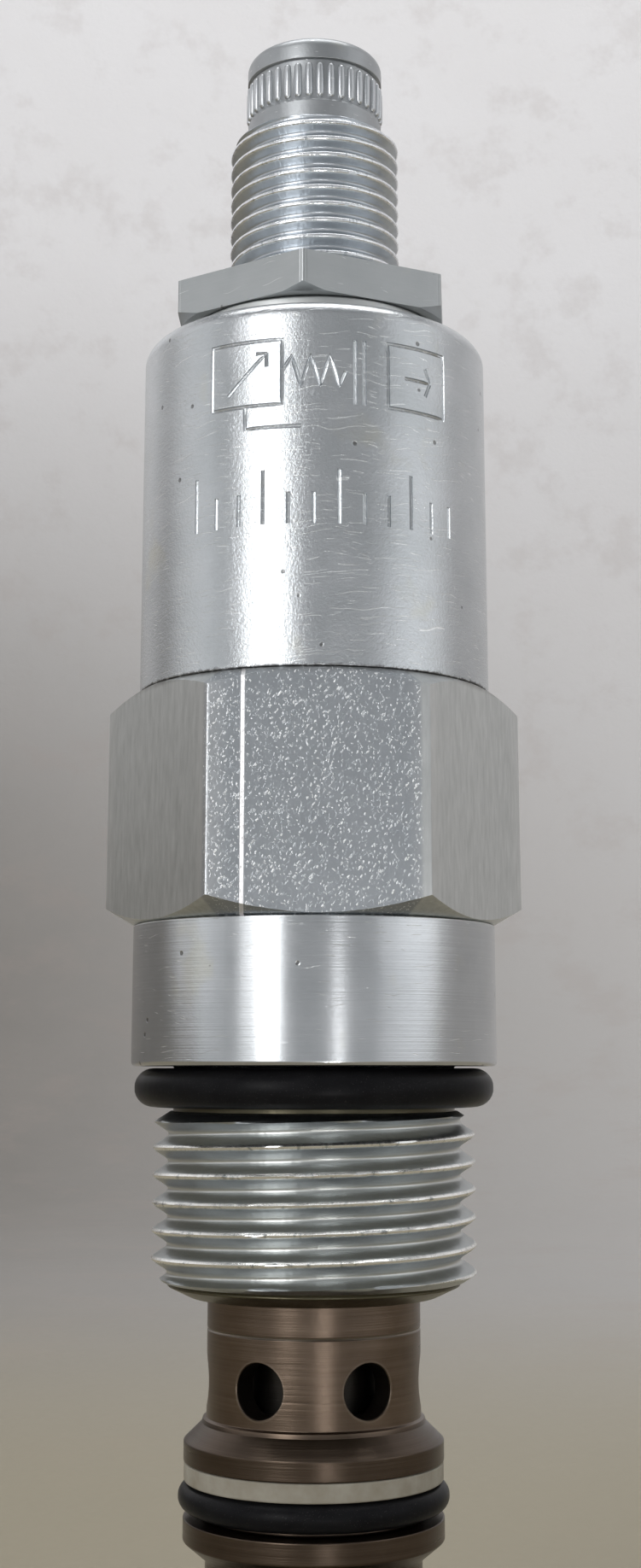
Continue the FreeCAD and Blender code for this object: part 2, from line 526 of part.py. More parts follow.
def lock_nut_and_washer():
    """Thin jam nut that locks the setting, and the flat washer under it."""
    nut = new_body("lock_nut")
    outline = outline_sketch(nut, "nut_outline", "XY_Plane", hexagon("nut_flats", "nut_turn"),
                             height="nut_low_z")
    pad(nut, "nut_pad", outline, "nut_top_z - nut_low_z")
    corner_chamfer(nut, "nut_low_chamfer", "nut_flats", "nut_face_radius", "nut_low_z", False)
    revolve(nut, "nut_bore", ring_section("0", "screw_hole_radius", f"nut_low_z - {CUT_MARGIN}",
            f"nut_top_z + {CUT_MARGIN}"), cut=True)
    square_ring("lock_washer", "washer_bore_radius", "washer_radius", "washer_low_z", "washer_top_z")


def check_and_export():
    """Refuse any failed object, then write one STEP file for each sub-part."""
    doc.recompute()
    for item in doc.Objects:
        if "Invalid" in item.State or "Error" in item.State:
            raise RuntimeError(f"{item.Label} failed: {item.State}")
    os.makedirs("parts", exist_ok=True)
    for label, item in sorted(parts.items()):
        shape = item.Shape
        if shape.isNull() or not shape.isValid() or not shape.Solids:
            raise RuntimeError(f"{label}: no valid solid")
        shape.exportStep(f"parts/{label}.step")
        print(f"{label:26s} {len(shape.Solids)} solid  {shape.Volume:9.2f} mm3  z "
              f"{shape.BoundBox.ZMin:7.2f} to {shape.BoundBox.ZMax:7.2f}")


hex_body()
sleeve()
cage()
seals()
pilot_stage()
main_stage()
adjusting_screw()
adjuster_cap()
lock_nut_and_washer()
check_and_export()
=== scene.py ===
# %% [markdown]
# # A screw-in pressure reducing cartridge valve
# The valve is a stack of turned steel pieces on one axis. A knurled key socket sits on a
# threaded adjusting screw, then come a thin jam nut, a round spring sleeve, a wrench hex
# with its seating collar, the cavity thread, and a brown steel cage that carries the
# seals. The frame already holds every piece at its real place and size, so the lesson
# starts by loading it. All the looks are then made round it, in the same coordinates.

# %% Load the frame
import json
import math
import bmesh
import bpy
import numpy as np
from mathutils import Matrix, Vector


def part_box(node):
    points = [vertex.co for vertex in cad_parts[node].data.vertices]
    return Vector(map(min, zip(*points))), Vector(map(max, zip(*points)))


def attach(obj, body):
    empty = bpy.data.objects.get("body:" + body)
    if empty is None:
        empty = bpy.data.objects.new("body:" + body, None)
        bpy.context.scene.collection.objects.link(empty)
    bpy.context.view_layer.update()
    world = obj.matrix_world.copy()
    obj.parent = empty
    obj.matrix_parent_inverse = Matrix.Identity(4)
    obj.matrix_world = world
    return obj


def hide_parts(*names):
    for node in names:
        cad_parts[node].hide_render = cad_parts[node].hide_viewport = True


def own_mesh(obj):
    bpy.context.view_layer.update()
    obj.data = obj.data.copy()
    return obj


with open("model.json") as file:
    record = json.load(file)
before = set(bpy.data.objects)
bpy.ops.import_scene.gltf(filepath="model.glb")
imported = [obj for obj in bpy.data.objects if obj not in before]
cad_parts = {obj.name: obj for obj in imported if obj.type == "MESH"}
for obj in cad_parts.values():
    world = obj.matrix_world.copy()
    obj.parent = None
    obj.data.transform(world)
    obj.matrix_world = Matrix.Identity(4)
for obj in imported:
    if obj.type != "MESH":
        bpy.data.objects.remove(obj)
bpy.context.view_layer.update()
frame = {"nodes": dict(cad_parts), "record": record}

MM = 0.001

# %% [markdown]
# ## Where the pieces are
# The frame works in metres. A turner thinks in millimetres of radius and height, so one
# helper reads a node's box and hands back its outer radius, its foot and its top.

# %% Read a turned piece's box
def span(node):
    low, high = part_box(node)
    return max(high[0], high[1]) / MM, low[2] / MM, high[2] / MM


SLEEVE_RADIUS, SLEEVE_FOOT, SLEEVE_TOP = span("sleeve")
CAGE_FOOT, CAGE_TOP = span("cage")[1:]
SCREW_FOOT, SCREW_TOP = span("adjusting_screw")[1:]
CAP_FOOT, CAP_TOP = span("adjuster_cap")[1:]
WASHER_RADIUS, WASHER_FOOT, WASHER_TOP = span("lock_washer")
NUT_FOOT, NUT_TOP = span("lock_nut")[1:]
BODY_FOOT, SPIGOT_TOP = span("hex_body")[1:]
print("sleeve", SLEEVE_RADIUS, SLEEVE_FOOT, SLEEVE_TOP)

# %% [markdown]
# ## Node trees written as sums
# Both shaders and Geometry Nodes are wired from the same Math nodes. A small class wraps a
# socket and overloads the operators, so a rule such as `1 - mask` adds its own node. Every
# other node comes from one method that takes its type, its settings and its inputs.

# %% A socket that knows arithmetic
class Wire:
    def __init__(self, net, socket):
        self.net = net
        self.socket = socket

    def math(self, operation, *rest):
        return self.net.add("ShaderNodeMath", {"operation": operation}, self, *rest)

    def __add__(self, other):
        return self.math("ADD", other)

    def __sub__(self, other):
        return self.math("SUBTRACT", other)

    def __rsub__(self, other):
        return self.net.add("ShaderNodeMath", {"operation": "SUBTRACT"}, other, self)

    def __mul__(self, other):
        return self.math("MULTIPLY", other)

    def __truediv__(self, other):
        return self.math("DIVIDE", other)

    def __rtruediv__(self, other):
        return self.net.add("ShaderNodeMath", {"operation": "DIVIDE"}, other, self)

    __radd__ = __add__
    __rmul__ = __mul__

    def clamp(self, low, high):
        return self.math("MAXIMUM", low).math("MINIMUM", high)

    def step(self, low, high):
        """0 below low, 1 above high, smooth between."""
        settings = {"interpolation_type": "SMOOTHSTEP"}
        return self.net.add("ShaderNodeMapRange", settings, self, low, high, 0.0, 1.0)


class Net:
    """A node tree with one way to add any node."""

    def __init__(self, tree):
        self.tree = tree

    def add(self, kind, settings=None, *values, out=0, **named):
        node = self.tree.nodes.new(kind)
        for key, value in (settings or {}).items():
            setattr(node, key, value)
        for index, value in enumerate(values):
            self.plug(node.inputs[index], value)
        for key, value in named.items():
            self.plug(node.inputs[key.replace("_", " ")], value)
        return Wire(self, node.outputs[out]) if len(node.outputs) else None

    def plug(self, socket, value):
        if isinstance(value, Wire):
            self.tree.links.new(value.socket, socket)
        elif value is not None:
            socket.default_value = value

    def other(self, wire, name):
        """Another output of the node a wire comes from."""
        return Wire(self, wire.socket.node.outputs[name])

    def vector(self, x, y, z):
        return self.add("ShaderNodeCombineXYZ", None, x, y, z)

    def blend(self, share, first, second):
        """Mix two colours by a mask."""
        settings = {"data_type": "RGBA", "clamp_factor": True}
        wire = self.add("ShaderNodeMix", settings, out=2)
        node = wire.socket.node
        self.plug(node.inputs[0], share)
        self.plug(node.inputs[6], first if isinstance(first, Wire) else (*first, 1.0))
        self.plug(node.inputs[7], second if isinstance(second, Wire) else (*second, 1.0))
        return wire


# %% [markdown]
# ## Metal that remembers how it was made
# Zinc plating over steel is nearly one grey, so its life is in its texture. Turned parts
# carry fine rings, milled flats carry a coarse crystal spangle, and rolled edges are polished
# by handling. Some light is painted on too: painted shade along the seams between pieces
# and a painted highlight on the hex corners. Each finish reads Object coordinates in
# millimetres, and a second set wrapped round the axis: along the skin, up, and outwards.

# %% A material with coordinates ready to use
SHADER = "ShaderNodeBsdfPrincipled"


def new_finish(name, **constants):
    """An empty Principled material; constants go straight on its own sockets."""
    material = bpy.data.materials.new(name)
    material.use_nodes = True
    material.node_tree.nodes.clear()
    net = Net(material.node_tree)
    surface = net.add(SHADER)
    net.shader = surface.socket.node
    net.add("ShaderNodeOutputMaterial", None, surface)
    for key, value in constants.items():
        net.shader.inputs[key.replace("_", " ")].default_value = value
    place = net.add("ShaderNodeTexCoord", out="Object")
    net.place = net.add("ShaderNodeVectorMath", {"operation": "SCALE"}, place, Scale=1 / MM)
    net.x = net.add("ShaderNodeSeparateXYZ", None, net.place, out="X")
    net.y, net.z = net.other(net.x, "Y"), net.other(net.x, "Z")
    net.radius = (net.x * net.x + net.y * net.y).math("SQRT")
    net.turn = net.y.math("ARCTAN2", net.x)
    return material, net


def noise(net, place, scale, detail=2.0, roughness=0.5):
    return net.add("ShaderNodeTexNoise", None, out="Fac", Vector=place, Scale=scale,
                   Detail=detail, Roughness=roughness)


def cells(net, place, scale, feature="F1"):
    return net.add("ShaderNodeTexVoronoi", {"feature": feature}, out="Distance", Vector=place,
                   Scale=scale)


def dress(net, colour, roughness, height, depth_mm):
    """Join a colour, a roughness and a height to the shader."""
    net.plug(net.shader.inputs["Base Color"], colour)
    net.plug(net.shader.inputs["Roughness"], roughness)
    bump = net.add("ShaderNodeBump", None, out="Normal", Strength=1.0, Distance=depth_mm * MM,
                   Height=height)
    net.plug(net.shader.inputs["Normal"], bump)


# %% [markdown]
# Rings left by the turning tool are long and thin: noise squeezed hard along the height
# and hardly at all round the skin draws them. Scratches are the same noise, cut off so
# that only its peaks remain. Pits are the middles of scattered cells.

# %% The marks every steel piece shares
def rings(net, per_mm, drift=0.35):
    """Fine turned rings, slightly broken round the skin."""
    place = net.vector(net.turn * drift, net.radius * 2.0, net.z * per_mm)
    return noise(net, place, 1.0, 3.0, 0.6)


def scratches(net, length_mm, width_mm, keep):
    """Short strokes along the skin, as from handling in a box of parts."""
    warp = noise(net, net.place, 0.35, 1.0) * 3.0
    across = net.turn * 10.0 / length_mm + warp
    place = net.vector(across, (net.z + warp * 0.4) / width_mm, net.radius / 4.0)
    return noise(net, place, 1.0, 0.0).step(keep, keep + 0.05)


def pits(net, spacing_mm, size):
    """Sparse dark dots where the plating missed."""
    return 1.0 - cells(net, net.place, 1.0 / spacing_mm).step(size * 0.6, size)


# %% Plated steel, in several workshop finishes
def plated(name, light, dark, gloss, ring_depth, grain_depth, per_mm=9.0, painted_seam_shade=None,
           keep=0.78):
    """Zinc plate. light and dark are its two greys, gloss its lowest and highest roughness.
    A seam of painted shade, when asked for, is given as its height and its thickness."""
    material, net = new_finish(name, Metallic=1.0, Specular_IOR_Level=0.5)
    cloud = noise(net, net.place, 0.22, 3.0, 0.55)
    grain = noise(net, net.place, 4.5, 3.0, 0.75)
    ring = rings(net, per_mm)
    stroke = scratches(net, 1.4, 0.09, keep)
    pit = pits(net, 2.6, 0.075)
    tone = (cloud * 1.5 - 0.25 + (ring - 0.5) * 0.5).clamp(0.0, 1.0)
    colour = net.blend(tone, dark, light)
    tarnish = noise(net, net.place, 0.16, 3.0, 0.6).step(0.60, 0.76)
    colour = net.blend(tarnish * 0.35, colour, (0.62, 0.59, 0.44))
    colour = net.blend(stroke * 0.6, colour, (0.92, 0.93, 0.93))
    colour = net.blend(pit * 0.7, colour, (0.10, 0.095, 0.085))
    rough = gloss[0] + (gloss[1] - gloss[0]) * (0.6 * grain + 0.4 * cloud)
    # Painted shade: a dark band, broken up with noise, along the seam where the next piece meets
    # this one.
    if painted_seam_shade:
        seam, thickness = painted_seam_shade
        edge = noise(net, net.place, 2.4, 4.0, 0.8).step(0.30, 0.72) * thickness * 2.0 + 0.02
        near = 1.0 - (net.z - seam).math("ABSOLUTE").step(0.0, edge)
        colour = net.blend(near * 0.85, colour, (0.045, 0.04, 0.035))
        rough = rough + near * 0.25
    height = ring * ring_depth + grain * grain_depth - pit * 0.02 - stroke * 0.006
    dress(net, colour, rough, height, 1.0)
    return material


# Painted shade lies along the foot of the sleeve, where it meets the hex, and along the foot of the
# washer.
sleeve_finish = plated("sleeve_zinc", (0.66, 0.68, 0.70), (0.52, 0.545, 0.56), (0.16, 0.32),
                       0.0030, 0.0240, painted_seam_shade=(SLEEVE_FOOT, 0.20), keep=0.71)
collar_finish = plated("collar_zinc", (0.66, 0.675, 0.69), (0.50, 0.52, 0.535), (0.14, 0.26),
                       0.0060, 0.0030, per_mm=7.0, keep=0.78)
nut_finish = plated("nut_zinc", (0.52, 0.535, 0.54), (0.43, 0.45, 0.455), (0.36, 0.48),
                    0.0008, 0.0060, keep=0.82)
# The washer's greys are painted lighter than the nut's: painted light where the nut shades it.
washer_finish = plated("washer_zinc", (0.66, 0.675, 0.67), (0.55, 0.565, 0.56), (0.42, 0.55),
                       0.0010, 0.0060, painted_seam_shade=(WASHER_FOOT + 0.25, 0.16))
rib_finish = plated("knurl_zinc", (0.70, 0.72, 0.74), (0.50, 0.52, 0.54),
                    (0.28, 0.42), 0.0010, 0.0060)
cap_finish = plated("cap_zinc", (0.47, 0.485, 0.50), (0.33, 0.345, 0.355), (0.34, 0.50),
                    0.0020, 0.0120, keep=0.78)
print("plated finishes:", [m.name for m in (sleeve_finish, collar_finish, nut_finish, cap_finish)])

# %% [markdown]
# The hex is milled, and its zinc has grown in visible crystals on the broad front flat.
# Cells of the right size, lit by a sharp threshold on a second noise, make that spangle.
# It stops at the neighbouring flats, where only a fine upright grain is left. One bright
# line stands where a wrench jaw has rubbed the front flat.

# %% Finish of the wrench hex
HEX_FLATS, HEX_LOW, HEX_TOP = 25.4, 9.58, 25.85


def hex_finish():
    material, net = new_finish("hex_zinc", Metallic=1.0)
    front = (0.0 - net.turn - math.radians(60)).step(0.0, 0.02)
    front = front * (1.0 - (0.0 - net.turn - math.radians(119.5)).step(0.0, 0.02))
    bend = noise(net, net.place, 3.0, 2.0) * 0.5
    fleck = net.vector(net.x + bend, net.y, net.z * 0.55 + bend * 0.6)
    chip = net.add("ShaderNodeTexVoronoi", None, out="Color", Vector=fleck, Scale=7.4)
    pick = net.add("ShaderNodeSeparateColor", None, chip, out=0)
    spot = 1.0 - cells(net, fleck, 7.4).step(0.20, 0.46)
    spark = pick.step(0.40, 1.0) * spot * front
    grain = noise(net, net.vector(net.x * 2.6, net.y * 2.6, net.z * 0.5), 1.0, 3.0, 0.6)
    cloud = noise(net, net.place, 0.3, 3.0)
    colour = net.blend(cloud, (0.40, 0.425, 0.45), (0.49, 0.515, 0.54))
    side = net.blend((grain * 1.6 - 0.3).clamp(0, 1), (0.54, 0.56, 0.55), (0.74, 0.755, 0.75))
    colour = net.blend(front, side, colour)
    colour = net.blend(spark, colour, (0.97, 0.98, 0.98))
    across = net.x + 4.65
    rub = (1.0 - across.math("ABSOLUTE").step(0.11, 0.17)) * front
    colour = net.blend(rub * 0.9, colour, (0.96, 0.95, 0.96))
    # Painted highlight: the rounded corners of the hex are painted lighter, as the line of light
    # they catch.
    corner = net.radius.step(13.9, 14.5)
    colour = net.blend(corner * 0.25, colour, (0.80, 0.80, 0.79))
    # Painted shade: a dark band, broken up with noise, along the top of the hex where the sleeve
    # meets it.
    near = 1.0 - (net.z - HEX_TOP).math("ABSOLUTE").step(0.0, 0.55)
    colour = net.blend(near * noise(net, net.place, 1.1, 4.0) * 0.9, colour, (0.12, 0.11, 0.10))
    rough = 0.27 + spark * 0.25 + rub * 0.2 + grain * 0.08
    height = pick * spot * front * 0.016 + grain * 0.008 + across * rub * 0.26
    dress(net, colour, rough, height, 1.0)
    return material


hex_zinc = hex_finish()


# %% Finish of a rolled or cut thread
def thread_finish(name, root, crest, flank, bright, root_dirt_and_painted_light):
    """Crests are rubbed bright and flanks stay dull. The root takes a colour of its own: a painted
    highlight where it is lighter than the flank, and simply darker where it is darker.
    """
    material, net = new_finish(name, Metallic=1.0)
    cloud = noise(net, net.place, 0.8, 3.0, 0.6)
    high = net.radius.step(root + (crest - root) * 0.80, crest - 0.03)
    low = 1.0 - net.radius.step(root + 0.02, root + (crest - root) * 0.25)
    nick = noise(net, net.vector(net.turn * 30.0, net.radius * 2.0, net.z * 1.5), 1.0, 2.0)
    colour = net.blend(cloud, flank, [part * 1.35 for part in flank])
    colour = net.blend(low * 0.8, colour, root_dirt_and_painted_light)
    colour = net.blend(high * nick.step(0.25, 0.45), colour, bright)
    rough = 0.28 - high * 0.08 + nick * 0.10
    dress(net, colour, rough, nick * 0.02 + cloud * 0.01, 1.0)
    return material


# The cavity thread's pale root colour is a painted highlight along the roots.
cavity_thread_finish = thread_finish("cavity_thread_zinc", 10.0, 11.07, (0.35, 0.37, 0.375),
                                     (0.96, 0.96, 0.93), (0.70, 0.71, 0.69))
# The end cone is painted dark olive-brown: partly its oil film, partly a painted reflection of the
# brown cage below it.
end_cone_oil_and_reflection_finish = thread_finish("end_zinc_oil_and_painted_reflection", 10.0, 11.07, (0.14, 0.13, 0.09),
                                (0.5, 0.5, 0.4), (0.10, 0.09, 0.06))
screw_thread_finish = thread_finish("screw_thread_zinc", 5.54, 6.32, (0.50, 0.53, 0.56),
                                    (0.92, 0.94, 0.96), (0.40, 0.42, 0.45))

# %% [markdown]
# The cage is heat treated, so it is brown rather than grey. Its turned rings are plain to
# see, one scribe line runs right round it, and from the flare down it is painted darker.
# Its bore, the floors of its deep grooves and the walls of its holes are painted near black
# as painted shade.

# %% Finish of the cage
def cage_finish():
    material, net = new_finish("brown_cage_steel", Metallic=1.0)
    ring = rings(net, 5.0, 0.25)
    fine = rings(net, 22.0, 0.8)
    cloud = noise(net, net.place, 0.35, 3.0, 0.6)
    colour = net.blend((ring * 0.7 + cloud * 0.5 - 0.1).clamp(0, 1), (0.070, 0.050, 0.036),
                       (0.225, 0.170, 0.130))
    # From the flare down, the cage is painted darker.
    flare = (0.0 - net.z - 22.85).step(0.0, 0.3)
    colour = net.blend(flare * 0.55, colour, (0.045, 0.034, 0.026))
    scribe = 1.0 - (net.z + 17.2).math("ABSOLUTE").step(0.06, 0.14)
    colour = net.blend(scribe * 0.6, colour, (0.32, 0.29, 0.25))
    rim = ring_near_ports(net)
    colour = net.blend(rim * 0.12, colour, (0.45, 0.39, 0.32))
    # Painted shade: the bore, the deep groove floors and the walls of the holes are painted near
    # black.
    inside = 1.0 - net.radius.step(6.95, 7.12)
    colour = net.blend(inside * 0.9, colour, (0.012, 0.010, 0.009))
    rough = 0.20 + ring * 0.14 + cloud * 0.08 + inside * 0.3
    dress(net, colour, rough, ring * 0.016 + fine * 0.005 - scribe * 0.03, 1.0)
    return material


PORT_HEIGHTS = (-20.5, -35.0)
PORT_RADIUS = 1.75
PORT_COUNT = 6


def ring_near_ports(net):
    """1 on the deburred rim of each cross hole."""
    step = 2 * math.pi / PORT_COUNT
    around = (net.turn / step + 0.5)
    around = (around - around.math("FLOOR") - 0.5) * step * net.radius
    up = (net.z - PORT_HEIGHTS[0]).math("ABSOLUTE").math(
        "MINIMUM", (net.z - PORT_HEIGHTS[1]).math("ABSOLUTE"))
    away = (around * around + up * up).math("SQRT")
    return away.step(PORT_RADIUS - 0.1, PORT_RADIUS) * (1.0 - away.step(PORT_RADIUS + 0.12,
                                                                       PORT_RADIUS + 0.2))


brown_cage_steel = cage_finish()


# %% [markdown]
# Rubber seals are black with a satin skin and a little dust. The backup rings beside them
# are white plastic that has yellowed and taken up oil.

# %% Finishes of the seals
def soft_finish(name, light, dark, rough):
    material, net = new_finish(name, Metallic=0.0, IOR=1.16)
    cloud = noise(net, net.place, 0.5, 3.0, 0.6)
    dust = noise(net, net.place, 9.0, 2.0, 0.7).step(0.62, 0.72)
    mark = rings(net, 4.0, 1.5)
    colour = net.blend((cloud * 1.4 - 0.2).clamp(0, 1), dark, light)
    colour = net.blend(dust * 0.05, colour, (0.55, 0.53, 0.50))
    dress(net, colour, rough + cloud * 0.12 + dust * 0.1, cloud * 0.02 + mark * 0.006, 1.0)
    return material


nitrile = soft_finish("black_nitrile", (0.011, 0.011, 0.012), (0.005, 0.005, 0.006), 0.27)
backup_plastic = soft_finish("yellowed_backup_plastic", (0.42, 0.40, 0.345),
                             (0.24, 0.21, 0.16), 0.46)
print("seal finishes ready")


# %% Finishes of the steel inside
def inner_steel(name, light, dark, low, high, metallic=1.0):
    material, net = new_finish(name, Metallic=metallic)
    ring = rings(net, 12.0)
    cloud = noise(net, net.place, 0.6, 3.0)
    colour = net.blend((ring * 0.6 + cloud * 0.6 - 0.1).clamp(0, 1), dark, light)
    dress(net, colour, low + (high - low) * ring, ring * 0.004 + cloud * 0.003, 1.0)
    return material


INNER = {
    "hardened_steel": inner_steel("ground_steel", (0.66, 0.66, 0.67), (0.50, 0.50, 0.52),
                                  0.16, 0.28),
    "plain_steel": inner_steel("turned_steel", (0.50, 0.50, 0.50), (0.36, 0.36, 0.37),
                               0.30, 0.45),
    "spring_steel": inner_steel("spring_wire", (0.30, 0.30, 0.33), (0.17, 0.17, 0.19),
                                0.28, 0.42),
    "screen_brass": inner_steel("sintered_bronze", (0.62, 0.43, 0.20), (0.40, 0.26, 0.12),
                                0.38, 0.55),
    "nitrile": nitrile,
    "backup_plastic": backup_plastic,
}


def paint(mesh, finish):
    """Give a mesh one finish and no other."""
    mesh.materials.clear()
    mesh.materials.append(finish)


for part in frame["record"]["subparts"]:
    if part["material_slot"] in INNER:
        paint(frame["nodes"][part["node"]].data, INNER[part["material_slot"]])
# The main spool, seen only through the cage's holes, is painted near black: painted shade inside
# the holes.
paint(frame["nodes"]["main_spool"].data,
      inner_steel("spool_steel_painted_shade", (0.060, 0.055, 0.050), (0.020, 0.018, 0.016), 0.30, 0.45))
print("inner pieces painted")

# %% [markdown]
# ## Turning on a lathe
# Nearly every piece here is turned, so one helper does the work of a lathe. It takes the
# closed outline of half the section as radius and height. A third number on a point rounds
# that corner with a small arc, because a true edge always catches a line of light. An
# extra point just beyond each arc keeps the shading of the long face beside it straight. The
# outline is then spun, and its ends join up, so the shell is closed without any doubles.

# %% Round the corners of an outline
def rounded(outline, steps=4):
    """Replace each corner that carries a radius by an arc."""
    result = []
    count = len(outline)
    for index, point in enumerate(outline):
        here = np.array(point[:2], float)
        if len(point) < 3:
            result.append(tuple(here))
            continue
        back = np.array(outline[index - 1][:2], float) - here
        ahead = np.array(outline[(index + 1) % count][:2], float) - here
        lengths = np.linalg.norm(back), np.linalg.norm(ahead)
        back, ahead = back / lengths[0], ahead / lengths[1]
        half = math.acos(np.clip(back @ ahead, -1, 1)) / 2
        reach = min(point[2] / math.tan(half), 0.49 * min(lengths))
        middle = (back + ahead) / np.linalg.norm(back + ahead)
        radius = reach * math.tan(half)
        centre = here + middle * radius / math.sin(half)
        first = here + back * reach - centre
        last = here + ahead * reach - centre
        angle = math.atan2(first[0] * last[1] - first[1] * last[0], first @ last)
        if lengths[0] > reach + 1.0:
            result.append(tuple(here + back * (reach + 0.03)))
        for step in range(steps + 1):
            turn = angle * step / steps
            spun = (first[0] * math.cos(turn) - first[1] * math.sin(turn),
                    first[0] * math.sin(turn) + first[1] * math.cos(turn))
            result.append((centre[0] + spun[0], centre[1] + spun[1]))
        if lengths[1] > reach + 1.0:
            result.append(tuple(here + ahead * (reach + 0.03)))
    return result


# %% Spin rows of points into a closed shell
def spin(rows, segments, angles=None):
    """rows are (radius, height) pairs, or functions of the angle that return one."""
    shape = bmesh.new()
    angles = angles or [2 * math.pi * step / segments for step in range(segments)]
    loops = []
    for row in rows:
        pairs = [row(angle) if callable(row) else row for angle in angles]
        if max(pair[0] for pair in pairs) < 1e-6:
            loops.append([shape.verts.new((0, 0, pairs[0][1] * MM))] * len(angles))
        else:
            loops.append([shape.verts.new((pair[0] * MM * math.cos(angle),
                                           pair[0] * MM * math.sin(angle), pair[1] * MM))
                          for pair, angle in zip(pairs, angles)])
    for one, two in zip(loops, loops[1:] + loops[:1]):
        for index in range(len(angles)):
            after = (index + 1) % len(angles)
            corners = [one[index], one[after], two[after], two[index]]
            corners = [c for place, c in enumerate(corners) if c not in corners[:place]]
            if len(corners) > 2:
                shape.faces.new(corners)
    bmesh.ops.recalc_face_normals(shape, faces=shape.faces)
    return shape


# %% [markdown]
# A finished mesh becomes a piece: it gets its finish, rides on its body, and stands in for
# the CAD nodes it replaces. Edges sharper than a limit stay crisp and the rest are shaded
# smooth.

# %% Turn a mesh into a piece of the object
def new_object(name, data):
    """An object in the scene, made from a mesh, a light or a camera."""
    obj = bpy.data.objects.new(name, data)
    bpy.context.scene.collection.objects.link(obj)
    return obj


def piece(name, shape, finish, body, nodes, sharp=32):
    mesh = shape
    if isinstance(shape, bmesh.types.BMesh):
        mesh = bpy.data.meshes.new(name)
        shape.to_mesh(mesh)
        shape.free()
    paint(mesh, finish)
    mesh.polygons.foreach_set("material_index", [0] * len(mesh.polygons))
    mesh.polygons.foreach_set("use_smooth", [True] * len(mesh.polygons))
    mesh.set_sharp_from_angle(angle=math.radians(sharp))
    obj = new_object(name, mesh)
    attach(obj, body)
    if nodes:
        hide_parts(*nodes)
    print(f"{name}: {len(mesh.polygons)} faces")
    return obj


# %% [markdown]
# ## The wrench hex and its collar
# One bar of steel gives the hex, the collar under it and the spigot inside the sleeve. The
# hex is still a row of a lathe outline, if the radius may change with the angle: it follows
# the flats, with a small round at each corner. The turned chamfers cut the corners along a
# curve, so two of the rows take their height from that cone and lie exactly on its crease.

# %% A hexagon as a radius that depends on the angle
def hexagon_radius(angle, flats, first, corner_round):
    """Distance from the axis to a hexagon's side, its corners rounded."""
    from_corner = (angle - first + math.pi / 6) % (math.pi / 3) - math.pi / 6
    flat = flats / 2 / math.cos(math.pi / 6 - abs(from_corner))
    centre = flats / math.sqrt(3) - corner_round / math.sin(math.pi / 3)
    across = centre * math.sin(from_corner)
    if abs(across) >= corner_round:
        return flat
    arc = centre * math.cos(from_corner) + math.sqrt(corner_round ** 2 - across ** 2)
    return min(flat, arc)


CHAMFER_SLOPE = math.tan(math.radians(30))


def hexagon_rows(flats, first, corner_round, low, top, low_face, top_face):
    """Rows from the low edge to the top edge of a hexagon with turned chamfers."""
    def side(angle):
        return hexagon_radius(angle, flats, first, corner_round)

    def crease(angle, face, edge, way):
        return side(angle), edge + way * max(0.0, side(angle) - face) * CHAMFER_SLOPE

    def between(share):
        def row(angle):
            start = crease(angle, low_face, low, 1)[1]
            end = crease(angle, top_face, top, -1)[1]
            return side(angle), start + (end - start) * share
        return row

    edges = [lambda angle: (min(side(angle), low_face), low),
             lambda angle: crease(angle, low_face, low, 1)]
    edges += [between(share) for share in (0.04, 0.5, 0.96)]
    return edges + [lambda angle: crease(angle, top_face, top, -1),
                    lambda angle: (min(side(angle), top_face), top)]


# %% Angles that crowd round a hexagon's corners
def corner_angles(first, per_side=22, per_corner=5, width=0.03):
    result = []
    for corner in range(6):
        middle = first + corner * math.pi / 3
        result += [middle + width * (step / per_corner - 1) for step in range(2 * per_corner + 1)]
        gap = math.pi / 3 - 2 * width
        result += [middle + width + gap * step / per_side for step in range(1, per_side)]
    return result


# %% Build the hex, the collar and the spigot
HEX_TURN = math.radians(1.5)
THREAD_CORE, NECK_FOOT, COLLAR_RADIUS = 9.7, -3.0, 12.65
head_rows = [(7.25, BODY_FOOT), (8.5, BODY_FOOT)]
head_rows += rounded([(8.5, BODY_FOOT), (10.0, -14.42, 0.1), (THREAD_CORE, -14.05),
                      (THREAD_CORE, -8), (THREAD_CORE, 0, 0.12), (COLLAR_RADIUS, 0, 0.3),
                      (COLLAR_RADIUS, 4.0)])[1:]
head_rows += [(COLLAR_RADIUS, 8.0)]
head_rows += rounded([(COLLAR_RADIUS, 8), (COLLAR_RADIUS, HEX_LOW - 0.02, 0.1),
                      (12.3, HEX_LOW, 0.05)], 3)[1:-2]
head_rows += hexagon_rows(HEX_FLATS, HEX_TURN, 0.15, HEX_LOW, HEX_TOP, 12.5, 12.5)
head_rows += rounded([(10.55, HEX_TOP), (10.55, 28.0, 0.1), (9.1, 28.0), (9.1, 30.2),
                      (10.55, 30.2, 0.1), (10.55, SPIGOT_TOP - 0.5), (10.05, SPIGOT_TOP),
                      (7.4, SPIGOT_TOP, 0.1), (7.4, 15), (5, 15), (5, 5), (7.25, 5)])
wrench_head = piece("wrench_head", spin(head_rows, 0, corner_angles(HEX_TURN)), hex_zinc, "housing",
                    ["hex_body"], sharp=28)

# %% [markdown]
# The collar and the hex are one piece of metal with two finishes, and the end cone under the
# thread takes a third, so the mesh takes three materials: every face below the hex gets the
# turned one, and every face below the neck gets the end cone's, painted dark olive-brown as
# its oil film and a painted reflection of the brown cage.

# %% Give the collar its turned finish
wrench_head.data.materials.append(collar_finish)
wrench_head.data.materials.append(end_cone_oil_and_reflection_finish)
for face in wrench_head.data.polygons:
    if face.center.z < NECK_FOOT * MM:
        face.material_index = 2
    elif face.center.z < HEX_LOW * MM - 0.00005:
        face.material_index = 1
print("finishes on the head:", len(wrench_head.data.materials))

